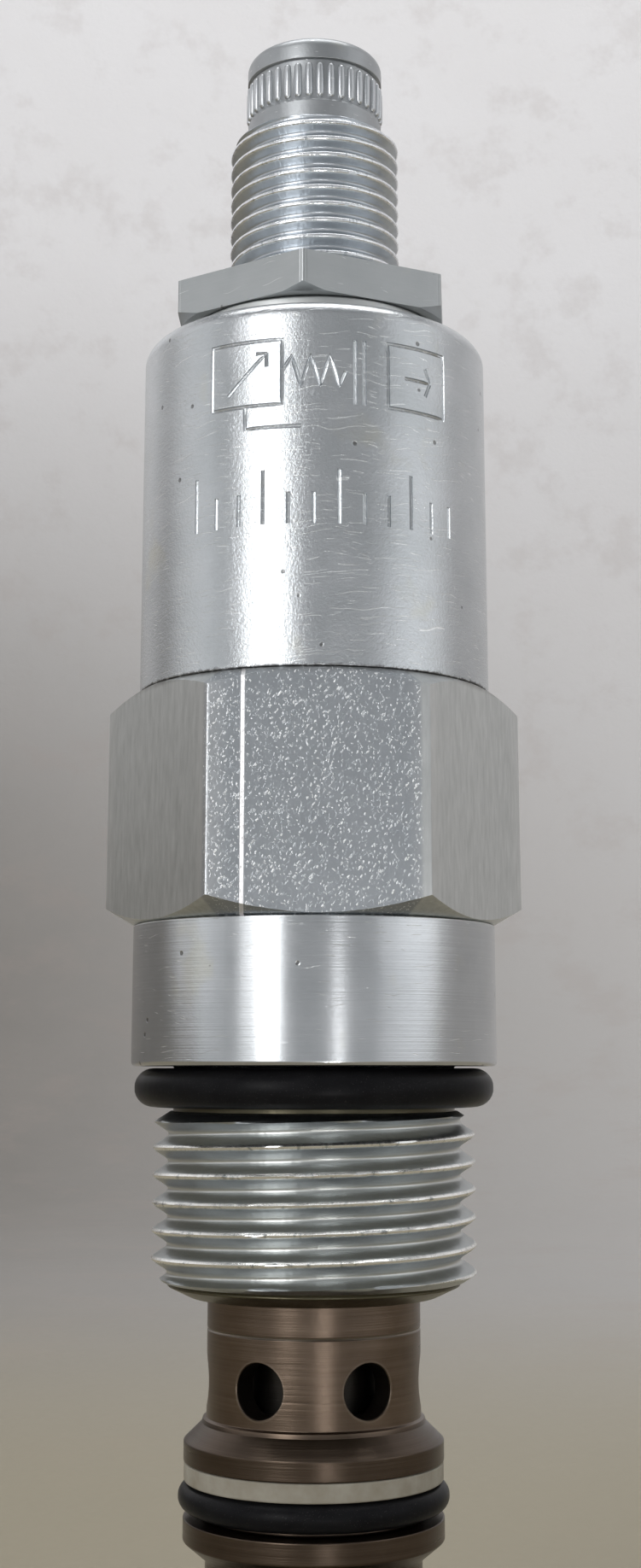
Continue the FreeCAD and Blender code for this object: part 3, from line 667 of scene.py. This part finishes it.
# %% [markdown]
# ## Threads grown from a grid
# A screw thread follows a rule, which suits Geometry Nodes. A grid is laid with one side
# round the axis and the other along it, and its rows climb by one pitch in each turn, so
# the crest lies along a row of vertices. The height is clamped to the ends first, and the
# profile is read from the clamped height, so the surplus rows fold flat onto the end and
# are merged away. Two cones limit the radius and make the lead-in chamfers.

# %% The tree of the threaded barrel
THREAD_INPUTS = {"Crest Radius": 11.0, "Depth": 1.0, "Pitch": 1.8, "Low": 0.0, "Top": 10.0,
                 "Bore Radius": 9.0, "Crest Share": 0.12, "Root Share": 0.12, "Low Face": 10.0,
                 "Top Face": 10.0, "Nick Depth": 0.05, "Softness": 0.5}
ROWS_PER_PITCH = 16
ROUND = 144


def tree_with(name, inputs, finish=True):
    """A Geometry Nodes tree with number inputs, and a Net and wires for them."""
    tree = bpy.data.node_groups.new(name, "GeometryNodeTree")
    tree.interface.new_socket("Geometry", in_out="OUTPUT", socket_type="NodeSocketGeometry")
    for label, default in inputs.items():
        kind = "NodeSocketInt" if isinstance(default, int) else "NodeSocketFloat"
        tree.interface.new_socket(label, in_out="INPUT", socket_type=kind).default_value = default
    tree.interface.new_socket("Finish", in_out="INPUT", socket_type="NodeSocketMaterial")
    net = Net(tree)
    start = tree.nodes.new("NodeGroupInput")
    wires = {label: Wire(net, start.outputs[label]) for label in [*inputs, "Finish"]}
    return net, wires


def finish_tree(net, geometry, finish):
    real = net.add("GeometryNodeRealizeInstances", None, geometry)
    painted = net.add("GeometryNodeSetMaterial", None, real, Material=finish)
    end = net.tree.nodes.new("NodeGroupOutput")
    net.tree.links.new(painted.socket, end.inputs[0])


def thread_tree(pitches):
    net, size = tree_with("threaded_barrel", THREAD_INPUTS)
    rows = pitches * ROWS_PER_PITCH + 4
    grid = net.add("GeometryNodeMeshGrid", None, 1.0, 1.0, ROUND + 1, rows)
    place = net.add("GeometryNodeInputPosition")
    across = net.add("ShaderNodeSeparateXYZ", None, place, out="X")
    share = across + 0.5
    row = ((net.other(across, "Y") + 0.5) * (rows - 1.0)).math("ROUND")
    angle = share * (2 * math.pi)
    climb = size["Pitch"] * share
    height = size["Low"] - size["Pitch"] + (row - 2.0) / ROWS_PER_PITCH * size["Pitch"] + climb
    height = height.math("MAXIMUM", size["Low"]).math("MINIMUM", size["Top"])
    phase = ((height - climb) / size["Pitch"]).math("FRACT")
    swing = (phase * 2.0 - 1.0).math("ABSOLUTE")
    fall = ((swing - size["Crest Share"]) / (1.0 - size["Crest Share"] - size["Root Share"]))
    fall = fall.clamp(0.0, 1.0)
    fall = fall * (1.0 - size["Softness"]) + fall.step(0.0, 1.0) * size["Softness"]
    circle = net.vector(angle.math("COSINE") * 9.0, angle.math("SINE") * 9.0, height * 1.3)
    nick = net.add("ShaderNodeTexNoise", None, circle, Scale=1.7, Detail=2.0, out=0)
    nick = nick.step(0.55, 0.75) * size["Nick Depth"] * (1.0 - fall)
    radius = size["Crest Radius"] - size["Depth"] * fall - nick
    radius = radius.math("MINIMUM", size["Low Face"] + (height - size["Low"]) * 1.6)
    radius = radius.math("MINIMUM", size["Top Face"] + (size["Top"] - height) * 1.6)
    first = row.math("LESS_THAN", 0.5)
    last = row.math("GREATER_THAN", rows - 1.5)
    near_last = row.math("GREATER_THAN", rows - 2.5)
    radius = radius + (size["Bore Radius"] - radius) * (first + near_last).clamp(0.0, 1.0)
    height = height + (size["Low"] - height) * (first + last).clamp(0.0, 1.0)
    height = height + (size["Top"] - height) * (near_last - last)
    spot = net.vector(radius * angle.math("COSINE") * MM, radius * angle.math("SINE") * MM,
                      height * MM)
    moved = net.add("GeometryNodeSetPosition", None, grid, Position=spot)
    merged = net.add("GeometryNodeMergeByDistance", None, moved, Distance=2e-6)
    finish_tree(net, merged, size["Finish"])
    return net.tree


# %% Evaluate a tree once and keep the plain mesh
def grow(tree, finish, **sizes):
    """Run a tree on an empty mesh and return the result as a mesh of its own."""
    holder = new_object("holder", bpy.data.meshes.new("holder"))
    modifier = holder.modifiers.new("tree", "NODES")
    modifier.node_group = tree
    wanted = {key.replace("_", " "): value for key, value in sizes.items()}
    for item in tree.interface.items_tree:
        if item.in_out == "INPUT":
            modifier[item.identifier] = finish if item.name == "Finish" else wanted.get(
                item.name, item.default_value)
    graph = bpy.context.evaluated_depsgraph_get()
    mesh = bpy.data.meshes.new_from_object(holder.evaluated_get(graph))
    bpy.data.objects.remove(holder)
    shape = bmesh.new()
    shape.from_mesh(mesh)
    bmesh.ops.dissolve_degenerate(shape, dist=1e-6, edges=shape.edges)
    bmesh.ops.recalc_face_normals(shape, faces=shape.faces)
    loose = [edge for edge in shape.edges if len(edge.link_faces) != 2]
    print(f"{tree.name}: {len(shape.faces)} faces, {len(loose)} open edges")
    return shape


# %% Cut the cavity thread and the screw thread
THREAD_FOOT = -14.15
barrel = grow(thread_tree(8), cavity_thread_finish, Crest_Radius=11.07, Depth=1.05, Pitch=1.814,
              Low=THREAD_FOOT, Top=NECK_FOOT, Bore_Radius=THREAD_CORE - 0.05, Crest_Share=0.06,
              Root_Share=0.10, Low_Face=10.3, Top_Face=9.9, Nick_Depth=0.10, Softness=0.35)
piece("cavity_thread", barrel, cavity_thread_finish, "housing", [], sharp=50)
STEM_FOOT, STEM_TOP, STEM_CORE = 46.5, 68.5, 5.5
barrel = grow(thread_tree(19), screw_thread_finish, Crest_Radius=6.32, Depth=0.66, Pitch=1.27,
              Low=STEM_FOOT, Top=STEM_TOP, Bore_Radius=STEM_CORE - 0.08, Crest_Share=0.16,
              Root_Share=0.16, Low_Face=5.6, Top_Face=5.62, Nick_Depth=0.05, Softness=0.25)
piece("screw_thread", barrel, screw_thread_finish, "adjuster", [], sharp=50)

# %% [markdown]
# ## The adjusting screw
# The screw carries a piston flange with a seal groove at its foot. Its core is turned, and
# the thread grown above lies round it. The top is bored for the shank of the key socket.

# %% Turn the screw's core
core = rounded([(0, SCREW_FOOT - 0.2), (2.0, SCREW_FOOT + 1.2), (3.0, SCREW_FOOT),
                (7.9, SCREW_FOOT, 0.25), (7.9, 42.6, 0.1), (6.1, 42.6), (6.1, 45.2),
                (7.9, 45.2, 0.1), (7.9, 46.0, 0.2), (STEM_CORE, 46.0),
                (STEM_CORE, SCREW_TOP - 0.1, 0.12), (3.55, SCREW_TOP - 0.1, 0.1),
                (3.55, 63.3), (0, 63.3)])
piece("screw_core", spin(core, 96), screw_thread_finish, "adjuster", ["adjusting_screw"])


# %% [markdown]
# ## The knurled cap
# A straight knurl is thirty-eight ribs. One rib is a half round bar with soft ends, and
# Geometry Nodes puts a copy at each point of a circle, turned to face outwards. Each rib
# is let a little into the cap, so nothing shows between them.

# %% The tree that sets ribs round a circle
def rib_tree():
    inputs = {"Count": 38, "Radius": 5.0, "Middle": 71.4, "Length": 2.3, "Width": 0.6,
              "Height": 0.3}
    net, size = tree_with("knurl_ribs", inputs)
    ball = net.add("GeometryNodeMeshUVSphere", None, Segments=10, Rings=8, Radius=1.0)
    spot = net.add("GeometryNodeInputPosition")
    up = net.add("ShaderNodeSeparateXYZ", None, spot, out="Z")
    end = up.math("SIGN") * up.math("ABSOLUTE").math("POWER", 0.22)
    inwards = net.other(up, "X") * size["Height"] * MM
    sideways = net.other(up, "Y") * size["Width"] * (MM / 2)
    bar = net.vector(inwards, sideways, end * size["Length"] * (MM / 2))
    shaped = net.add("GeometryNodeSetPosition", None, ball, Position=bar)
    ring = net.add("GeometryNodeMeshCircle", None, Vertices=size["Count"],
                   Radius=size["Radius"] * MM)
    lifted = net.add("GeometryNodeSetPosition", None, ring,
                     Offset=net.vector(0.0, 0.0, size["Middle"] * MM))
    index = net.add("GeometryNodeInputIndex")
    facing = net.vector(0.0, 0.0, index * (2 * math.pi) / size["Count"])
    copies = net.add("GeometryNodeInstanceOnPoints", None, lifted, Instance=shaped, Rotation=facing)
    finish_tree(net, copies, size["Finish"])
    return net.tree


# %% Set the ribs on the cap
ribs = grow(rib_tree(), rib_finish, Count=38, Radius=4.93, Middle=71.60, Length=2.75, Width=0.60,
            Height=0.26)
piece("cap_knurl", ribs, rib_finish, "adjuster", [], sharp=60)


# %% Turn the cap, with its key socket
def key_socket(angle):
    return hexagon_radius(angle, 3.97, 0.0, 0.05)


cap_rows = rounded([(0, CAP_FOOT), (3.4, CAP_FOOT, 0.15), (3.4, 68.57), (5.05, 68.57, 0.15),
                    (5.05, 69.95, 0.15), (4.96, 70.1), (4.96, 73.12), (4.86, 73.17), (4.86, 73.27),
                    (5.1, 73.34, 0.05), (5.1, CAP_TOP, 1.7), (2.6, CAP_TOP, 0.05),
                    (2.3, CAP_TOP - 0.25)], 8)
cap_rows += [lambda angle: (key_socket(angle), CAP_TOP - 0.35),
             lambda angle: (key_socket(angle), CAP_TOP - 4.5), (0, CAP_TOP - 4.5)]
piece("key_cap", spin(cap_rows, 0, corner_angles(0.0, 10, 2, 0.02)), cap_finish, "adjuster",
      ["adjuster_cap"], sharp=40)

# %% [markdown]
# ## The jam nut and its washer
# The nut is the hexagon rows again with a low chamfer and a plain bore chamfered at both
# ends. The washer is a plain turned ring with rounded edges.

# %% Build the nut and the washer
NUT_TURN = math.radians(26)
nut_rows = hexagon_rows(19.05, NUT_TURN, 0.25, NUT_FOOT, NUT_TOP, 10.2, 11.05)
nut_rows += rounded([(6.75, NUT_FOOT), (6.37, NUT_FOOT + 0.35), (6.37, NUT_TOP - 0.35),
                     (6.75, NUT_TOP)])[::-1]
piece("jam_nut", spin(nut_rows, 0, corner_angles(NUT_TURN, 16)), nut_finish, "jam_nut",
      ["lock_nut"], sharp=24)
washer_rows = rounded([(6.47, WASHER_FOOT, 0.1), (WASHER_RADIUS, WASHER_FOOT, 0.2),
                       (WASHER_RADIUS, WASHER_TOP, 0.15), (6.47, WASHER_TOP, 0.1)])
piece("nut_washer", spin(washer_rows, 128), washer_finish, "nut_carrier", ["lock_washer"])

# %% [markdown]
# ## The sleeve and its engraving
# The sleeve is turned with a broad rounded shoulder. It carries marks cut by a vibrating
# point, so they are shallow channels. The marks are generic: the outline diagram of a
# pressure control, which is a square, an arrow and a spring, with a plain row of scale
# ticks under it. Each stroke is a thin bar laid along the skin, and a Boolean takes the bars away.

# %% Turn the sleeve
def sleeve_rows():
    return rounded([(10.6, SLEEVE_FOOT), (12.5, SLEEVE_FOOT, 0.12), (12.5, SLEEVE_TOP, 1.25),
                    (6.37, SLEEVE_TOP, 0.2), (6.37, 46.5), (8.0, 46.5, 0.3),
                    (8.0, 34.1), (10.6, 34.1)], 10)


# %% Lay a stroke along the skin
def close(shape, loops):
    """Join loops of vertices into one closed skin, with a face at either end."""
    for one, two in zip(loops, loops[1:]):
        for step in range(len(one)):
            after = (step + 1) % len(one)
            shape.faces.new([one[step], one[after], two[after], two[step]])
    shape.faces.new(loops[0][::-1])
    shape.faces.new(loops[-1])


def stroke_bar(shape, path, depth=0.13, width=0.15):
    """A closed bar of round section along a path of (degrees round, height) points."""
    points = []
    for (a0, z0), (a1, z1) in zip(path, path[1:]):
        count = max(1, round(math.hypot((a1 - a0) * 0.218, z1 - z0) / 0.6))
        points += [(a0 + (a1 - a0) * step / count, z0 + (z1 - z0) * step / count)
                   for step in range(count)]
    points.append(path[-1])
    loops = []
    for index, (degrees, height) in enumerate(points):
        before, after = points[max(index - 1, 0)], points[min(index + 1, len(points) - 1)]
        run = np.array([(after[0] - before[0]) * 0.218, after[1] - before[1]])
        run /= np.linalg.norm(run)
        loop = []
        for corner in range(8):
            turn = 2 * math.pi * corner / 8
            aside, out = width * math.cos(turn), depth * math.sin(turn)
            angle = math.radians(degrees - 90) - aside * run[1] / SLEEVE_RADIUS
            radius = (SLEEVE_RADIUS + out) * MM
            loop.append(shape.verts.new((radius * math.cos(angle), radius * math.sin(angle),
                                         (height + aside * run[0]) * MM)))
        loops.append(loop)
    close(shape, loops)


# %% Take one shape away from another
def carve(shape, cutter):
    """Boolean difference of two bmeshes, exact, with the cutter allowed to cross itself."""
    objects = []
    for source in (shape, cutter):
        bmesh.ops.recalc_face_normals(source, faces=source.faces)
        mesh = bpy.data.meshes.new("carve")
        source.to_mesh(mesh)
        source.free()
        objects.append(new_object("carve", mesh))
    modifier = objects[0].modifiers.new("carve", "BOOLEAN")
    modifier.object, modifier.operation, modifier.solver = objects[1], "DIFFERENCE", "EXACT"
    modifier.use_self = True
    graph = bpy.context.evaluated_depsgraph_get()
    mesh = bpy.data.meshes.new_from_object(objects[0].evaluated_get(graph))
    for obj in objects:
        bpy.data.objects.remove(obj)
    return mesh


# %% Engrave the diagram and the ticks
strokes = [
    [(-34, 44.0), (-34, 48.6), (-10, 48.6), (-10, 44.0), (-34, 44.0)],
    [(-28, 44.9), (-15, 47.7), (-18.6, 47.7)], [(-15, 47.7), (-15, 46.7)],
    [(-10, 46.3), (-7, 47.4), (-4, 45.2), (-1, 47.4), (2, 45.2), (5, 47.4), (8, 45.2), (10, 46.3)],
    [(-22, 44.0), (-22, 42.4), (-4, 42.4)], [(16, 44.0), (16, 48.6)], [(13, 44.0), (13, 48.6)],
    [(24, 44.0), (24, 48.6), (46, 48.6), (46, 44.0), (24, 44.0)],
    [(30, 46.3), (40, 46.3), (38, 47.3)], [(40, 46.3), (38, 45.3)],
]
for number in range(12):
    height = 3.8 if number % 3 == 0 else 2.2
    strokes.append([(8 * number - 40, 35.6), (8 * number - 40, 35.6 + height)])
cutter = bmesh.new()
for path in strokes:
    stroke_bar(cutter, path)
shell = carve(spin(sleeve_rows(), 192), cutter)
piece("spring_sleeve", shell, sleeve_finish, "housing", ["sleeve"], sharp=30)
print("strokes:", len(strokes))

# %% [markdown]
# ## The cage
# The cage is one long turned outline with grooves for the seals. Its cross holes are
# drilled in two rows of six. Each drill is a cutter that opens into a small cone just at
# the skin, and the cone follows the curve of the cage, as a deburring tool does.

# %% Outline of the cage
PORT_RING, SPOOL_BORE, CAGE_RADIUS = 5.3, 4.76, 7.2


def cage_rows():
    ports = []
    for height in PORT_HEIGHTS[::-1]:
        low, top = height - PORT_RADIUS, height + PORT_RADIUS
        ports += [(SPOOL_BORE, low), (PORT_RING, low), (PORT_RING, top), (SPOOL_BORE, top)]
    return rounded([
        (5.2, CAGE_TOP), (CAGE_RADIUS, CAGE_TOP, 0.2), (CAGE_RADIUS, -10.6), (5.85, -10.6, 0.2),
        (5.85, -12.4, 0.2), (CAGE_RADIUS, -12.4, 0.1), (CAGE_RADIUS, -17.1),
        (CAGE_RADIUS - 0.06, -17.2), (CAGE_RADIUS, -17.3), (CAGE_RADIUS, -22.82, 0.05),
        (7.44, -22.92, 0.04), (7.5, -23.2), (8.7, CAGE_LAND_TOP, 0.15), (8.7, -25.6, 0.08),
        (7.25, -25.6, 0.2), (7.25, -29.11, 0.2), (8.7, -29.11, 0.08), (8.7, -30.5, 0.2),
        (CAGE_RADIUS, -31.7, 0.3), (CAGE_RADIUS, -38.2, 0.3), (7.9, -39.1, 0.2),
        (7.9, -40.2, 0.08), (6.35, -40.2, 0.2), (6.35, -44.3, 0.2), (7.9, -44.3, 0.08),
        (7.9, CAGE_FOOT, 0.6), (5.3, CAGE_FOOT, 0.1), (SPOOL_BORE, CAGE_FOOT + 0.6, 0.1),
        (SPOOL_BORE, -43.6), (5.35, -43.6), (5.35, -42.9), (SPOOL_BORE, -42.9), *ports,
        (SPOOL_BORE, -7.0), (5.2, -6.56)], 4)


CAGE_LAND_TOP = -24.33


# %% Drill the cross holes
def drill(shape, azimuth, height):
    """A closed cutter for one cross hole, with a small cone that follows the skin."""
    stations = [(PORT_RADIUS, 3.6), (PORT_RADIUS, CAGE_RADIUS - 0.05),
                (PORT_RADIUS + 0.07, CAGE_RADIUS + 0.02), (PORT_RADIUS + 0.07, 9.5)]
    loops = []
    for reach, depth in stations:
        loop = []
        for step in range(48):
            turn = 2 * math.pi * step / 48
            aside, up = reach * math.cos(turn), reach * math.sin(turn)
            along = math.sqrt(depth ** 2 - aside ** 2)
            loop.append(shape.verts.new((
                (along * math.cos(azimuth) - aside * math.sin(azimuth)) * MM,
                (along * math.sin(azimuth) + aside * math.cos(azimuth)) * MM, (height + up) * MM)))
        loops.append(loop)
    close(shape, loops)


cutter = bmesh.new()
for height in PORT_HEIGHTS:
    for hole in range(PORT_COUNT):
        drill(cutter, hole * 2 * math.pi / PORT_COUNT, height)
shell = carve(spin(cage_rows(), 168), cutter)
piece("ported_cage", shell, brown_cage_steel, "housing", ["cage"], sharp=30)

# %% [markdown]
# ## Seals
# An O-ring is a torus with a fine moulding line round its middle. The torus is drawn as a
# section and spun like the rest. It lies at the same size as in the frame.

# %% Mould the seals that show
def o_ring(node, colour=nitrile):
    low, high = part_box(node)
    wire = (high[2] - low[2]) / MM / 2
    middle = (high[2] + low[2]) / MM / 2
    coil = high[0] / MM - wire
    section = []
    for step in range(28):
        turn = 2 * math.pi * step / 28
        flash = 0.985 if step % 14 == 0 else 1.0
        section.append((coil + wire * flash * math.cos(turn),
                        middle + wire * flash * math.sin(turn)))
    piece(node + "_moulding", spin(section, 128), colour, "housing", [node], sharp=60)


for node in ("body_o_ring", "upper_cage_o_ring", "lower_cage_o_ring"):
    o_ring(node)
for node in ("upper_backup_ring", "lower_backup_ring_top", "lower_backup_ring_bottom"):
    radius, foot, top = span(node)
    inside = radius - 1.37
    rows = rounded([(inside, foot, 0.1), (radius, foot, 0.12), (radius, top, 0.12),
                    (inside, top, 0.1)])
    piece(node + "_turned", spin(rows, 128), backup_plastic, "housing", [node])


# %% [markdown]
# ## Springs
# A spring is wire that follows a helix. At each end the last coil closes up. The tree makes
# a line, bends it into the helix and thickens it with a round profile.

# %% The tree that winds a spring
def spring_tree():
    inputs = {"Coil Radius": 4.0, "Wire Radius": 0.5, "Low": 0.0, "Top": 10.0, "Coils": 6.0}
    net, size = tree_with("wound_spring", inputs)
    line = net.add("GeometryNodeCurvePrimitiveLine", None, None, (0, 0, 0), (0, 0, 1))
    fine = net.add("GeometryNodeResampleCurve", None, line, Count=420)
    share = net.add("GeometryNodeSplineParameter", None, out=0)
    turn = share * size["Coils"] * (2 * math.pi)
    settings = {"interpolation_type": "LINEAR"}
    start = 0.75 / size["Coils"]
    rise = net.add("ShaderNodeMapRange", settings, share, start, 1.0 - start, 0.0, 1.0)
    low = size["Low"] + size["Wire Radius"]
    high = size["Top"] - size["Wire Radius"]
    height = low + (high - low) * (rise * 0.86 + share * 0.14)
    spot = net.vector(turn.math("COSINE") * size["Coil Radius"] * MM,
                      turn.math("SINE") * size["Coil Radius"] * MM, height * MM)
    coil = net.add("GeometryNodeSetPosition", None, fine, Position=spot)
    wire = net.add("GeometryNodeCurvePrimitiveCircle", None, Resolution=12,
                   Radius=size["Wire Radius"] * MM)
    tube = net.add("GeometryNodeCurveToMesh", None, coil, Profile_Curve=wire, Fill_Caps=True)
    finish_tree(net, tube, size["Finish"])
    return net.tree


# %% Wind the two springs
wire_finish = INNER["spring_steel"]
windings = spring_tree()
for node, body, coil, wire, low, top, coils, joint, anchor, keep in (
        ("pilot_spring", "pilot", 4.75, 0.95, 19.44, 37.86, 6.0, "adjuster_travel", 19.44, 0.69),
        ("main_spring", "housing", 4.0, 0.45, -8.46, 4.01, 9.0, "spool_travel", 4.01, 0.79)):
    shape = grow(windings, wire_finish, Coil_Radius=coil, Wire_Radius=wire, Low=low, Top=top,
                 Coils=coils)
    wound = piece(node + "_wound", shape, wire_finish, body, [node], sharp=60)
    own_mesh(wound)

# %% [markdown]
# ## The stage
# Bright metal shows its surroundings more than itself, so the surroundings are designed.
# The valve stands in a big pale bowl: a floor that curves up into a wall. The bowl carries
# painted light: it is painted darker low down, darker on the left low down and lighter above,
# the floor near the valve carries a painted shadow, and the part in front is painted pale.
# Strip lights stacked on the left draw the long highlight and a low narrow one the second.
# Broad soft ones fill the sides, and wide ones wash wall and top.

# %% Build the bowl
def bowl_finish():
    material, net = new_finish("pale_backdrop", Roughness=0.9, Specular_IOR_Level=0.1)
    mottle = noise(net, net.place, 0.012, 4.0, 0.6)
    fine = noise(net, net.place, 0.25, 2.0, 0.6)
    # Painted light: the bowl is painted darker low down and lighter higher up, and its low part
    # darker on the left.
    painted_height_light = (net.z / 430.0).step(-0.1, 1.05)
    colour = net.blend(painted_height_light, (0.45, 0.44, 0.43), (0.78, 0.775, 0.785))
    side = (net.x / 300.0 + 0.5).clamp(0.0, 1.0)
    colour = net.blend((1.0 - side) * (1.0 - painted_height_light) * 0.95, colour, (0.175, 0.165, 0.150))
    stain = noise(net, net.place, 0.03, 4.0, 0.65).step(0.50, 0.70)
    colour = net.blend(mottle * 0.20, colour, (0.50, 0.45, 0.42))
    colour = net.blend(stain * 0.16, colour, (0.36, 0.30, 0.27))
    # Painted shadow: the floor near the valve and behind it is painted darker and browner.
    close = (1.0 - net.y.step(60.0, 330.0)) * (1.0 - (net.z + 46.0).step(1.0, 12.0))
    colour = net.blend(close * 0.72, colour, (0.33, 0.29, 0.20))
    # Painted light: the bowl in front, behind the camera, is painted pale, as a lit wall for the
    # metal to reflect.
    front = (0.0 - net.y).step(90.0, 260.0)
    colour = net.blend(front, colour, (0.70, 0.71, 0.72))
    dress(net, colour, 0.9 + fine * 0.05, fine, 0.2)
    return material


FLOOR = CAGE_FOOT
WALL, CURVE, RIM = 900.0, 380.0, 1150.0
bowl_rows = [(0, FLOOR), (60, FLOOR), (WALL - CURVE, FLOOR)]
for step in range(1, 13):
    angle = math.pi / 2 * step / 12
    bowl_rows.append((WALL - CURVE + CURVE * math.sin(angle),
                      FLOOR + CURVE * (1 - math.cos(angle))))
bowl_rows += [(WALL, RIM), (WALL + 10, RIM), (WALL + 10, FLOOR - 10), (0, FLOOR - 10)]
bowl_mesh = bpy.data.meshes.new("backdrop")
bowl_shape = spin(bowl_rows, 96)
bowl_shape.to_mesh(bowl_mesh)
bowl_shape.free()
bowl_mesh.materials.append(bowl_finish())
bowl_mesh.polygons.foreach_set("use_smooth", [True] * len(bowl_mesh.polygons))
bowl_mesh.set_sharp_from_angle(angle=math.radians(30))
new_object("backdrop", bowl_mesh)


# %% Hang the lights
def strip(name, azimuth, distance, width, low, high, power, tint=(1.0, 1.0, 1.0)):
    """An upright area light facing the axis. azimuth is from the front, left negative."""
    turn = math.radians(azimuth - 90)
    light = bpy.data.lights.new(name, "AREA")
    light.shape, light.size, light.size_y = "RECTANGLE", width, high - low
    light.energy, light.color = power, tint
    obj = new_object(name, light)
    obj.location = (distance * math.cos(turn), distance * math.sin(turn), (low + high) / 2)
    obj.rotation_euler = (math.pi / 2, 0, turn + math.pi / 2)
    return obj


COOL, FAINT = (0.95, 0.98, 1.0), (0.97, 0.98, 1.0)
strip("key_top", -29.5, 0.60, 0.19, 0.25, 0.52, 0.42)
strip("key_middle", -29.5, 0.60, 0.19, 0.105, 0.25, 0.40)
strip("key_low", -27.5, 0.60, 0.115, -0.04, 0.105, 0.26)
strip("second_key", 15.0, 0.60, 0.060, -0.04, 0.030, 0.036)
strip("key_shoulder", -40.0, 0.60, 0.12, 0.0, 0.52, 0.22)
strip("right_fill", 73, 0.75, 0.60, -0.045, 0.9, 0.68, COOL)
strip("left_fill", -85, 0.75, 0.50, -0.045, 0.8, 0.46, COOL)
strip("right_low", 62, 0.70, 0.55, -0.045, 0.16, 0.17, FAINT)
glint = strip("floor_glint", 0, 0.0, 0.008, 0.0, 0.20, 0.075)
aside = math.radians(11)
glint.location = (0.19 * math.sin(aside), -0.19 * math.cos(aside), -0.0445)
glint.rotation_euler = (math.pi, 0, aside)
strip("left_rim", -138, 0.80, 0.50, -0.045, 0.7, 0.18, FAINT)
strip("left_low", -75, 0.70, 0.50, -0.045, 0.16, 0.085, FAINT)
wash = strip("wall_wash", 0, 0.0, 1.0, 0.0, 0.4, 5.4)
wash.location, wash.rotation_euler = (0, 0.05, 1.0), (math.radians(55), 0, 0)
top = strip("top_soft", 0, 0.0, 0.8, 0.0, 0.8, 2.2)
top.location, top.rotation_euler = (0, 0, 1.1), (0, 0, 0)

world = bpy.data.worlds.new("room")
bpy.context.scene.world = world
world.use_nodes = True
sky = world.node_tree.nodes["Background"].inputs
sky["Color"].default_value, sky["Strength"].default_value = (0.86, 0.89, 0.92, 1.0), 0.28
bpy.context.scene.view_settings.view_transform = "Standard"

# %% [markdown]
# ## The camera
# The camera stands close, at the height of the seating face, and looks up along the valve.
# Its picture is shifted down a little, so that the cage shows without tilting the view.

# %% Place the camera
camera_data = bpy.data.cameras.new("camera")
camera_data.lens, camera_data.sensor_width = 47.0, 36.0
camera_data.shift_y = -0.0915
camera_data.clip_start, camera_data.clip_end = 0.005, 10.0
camera = new_object("camera", camera_data)
camera.location = (0.00045, -0.14497, 0.0)
camera.rotation_euler = (math.pi / 2 + math.radians(11.75), 0.0, 0.0)
bpy.context.scene.camera = camera

# %% [markdown]
# ## Update the scene

# %% Update the scene
bpy.context.view_layer.update()
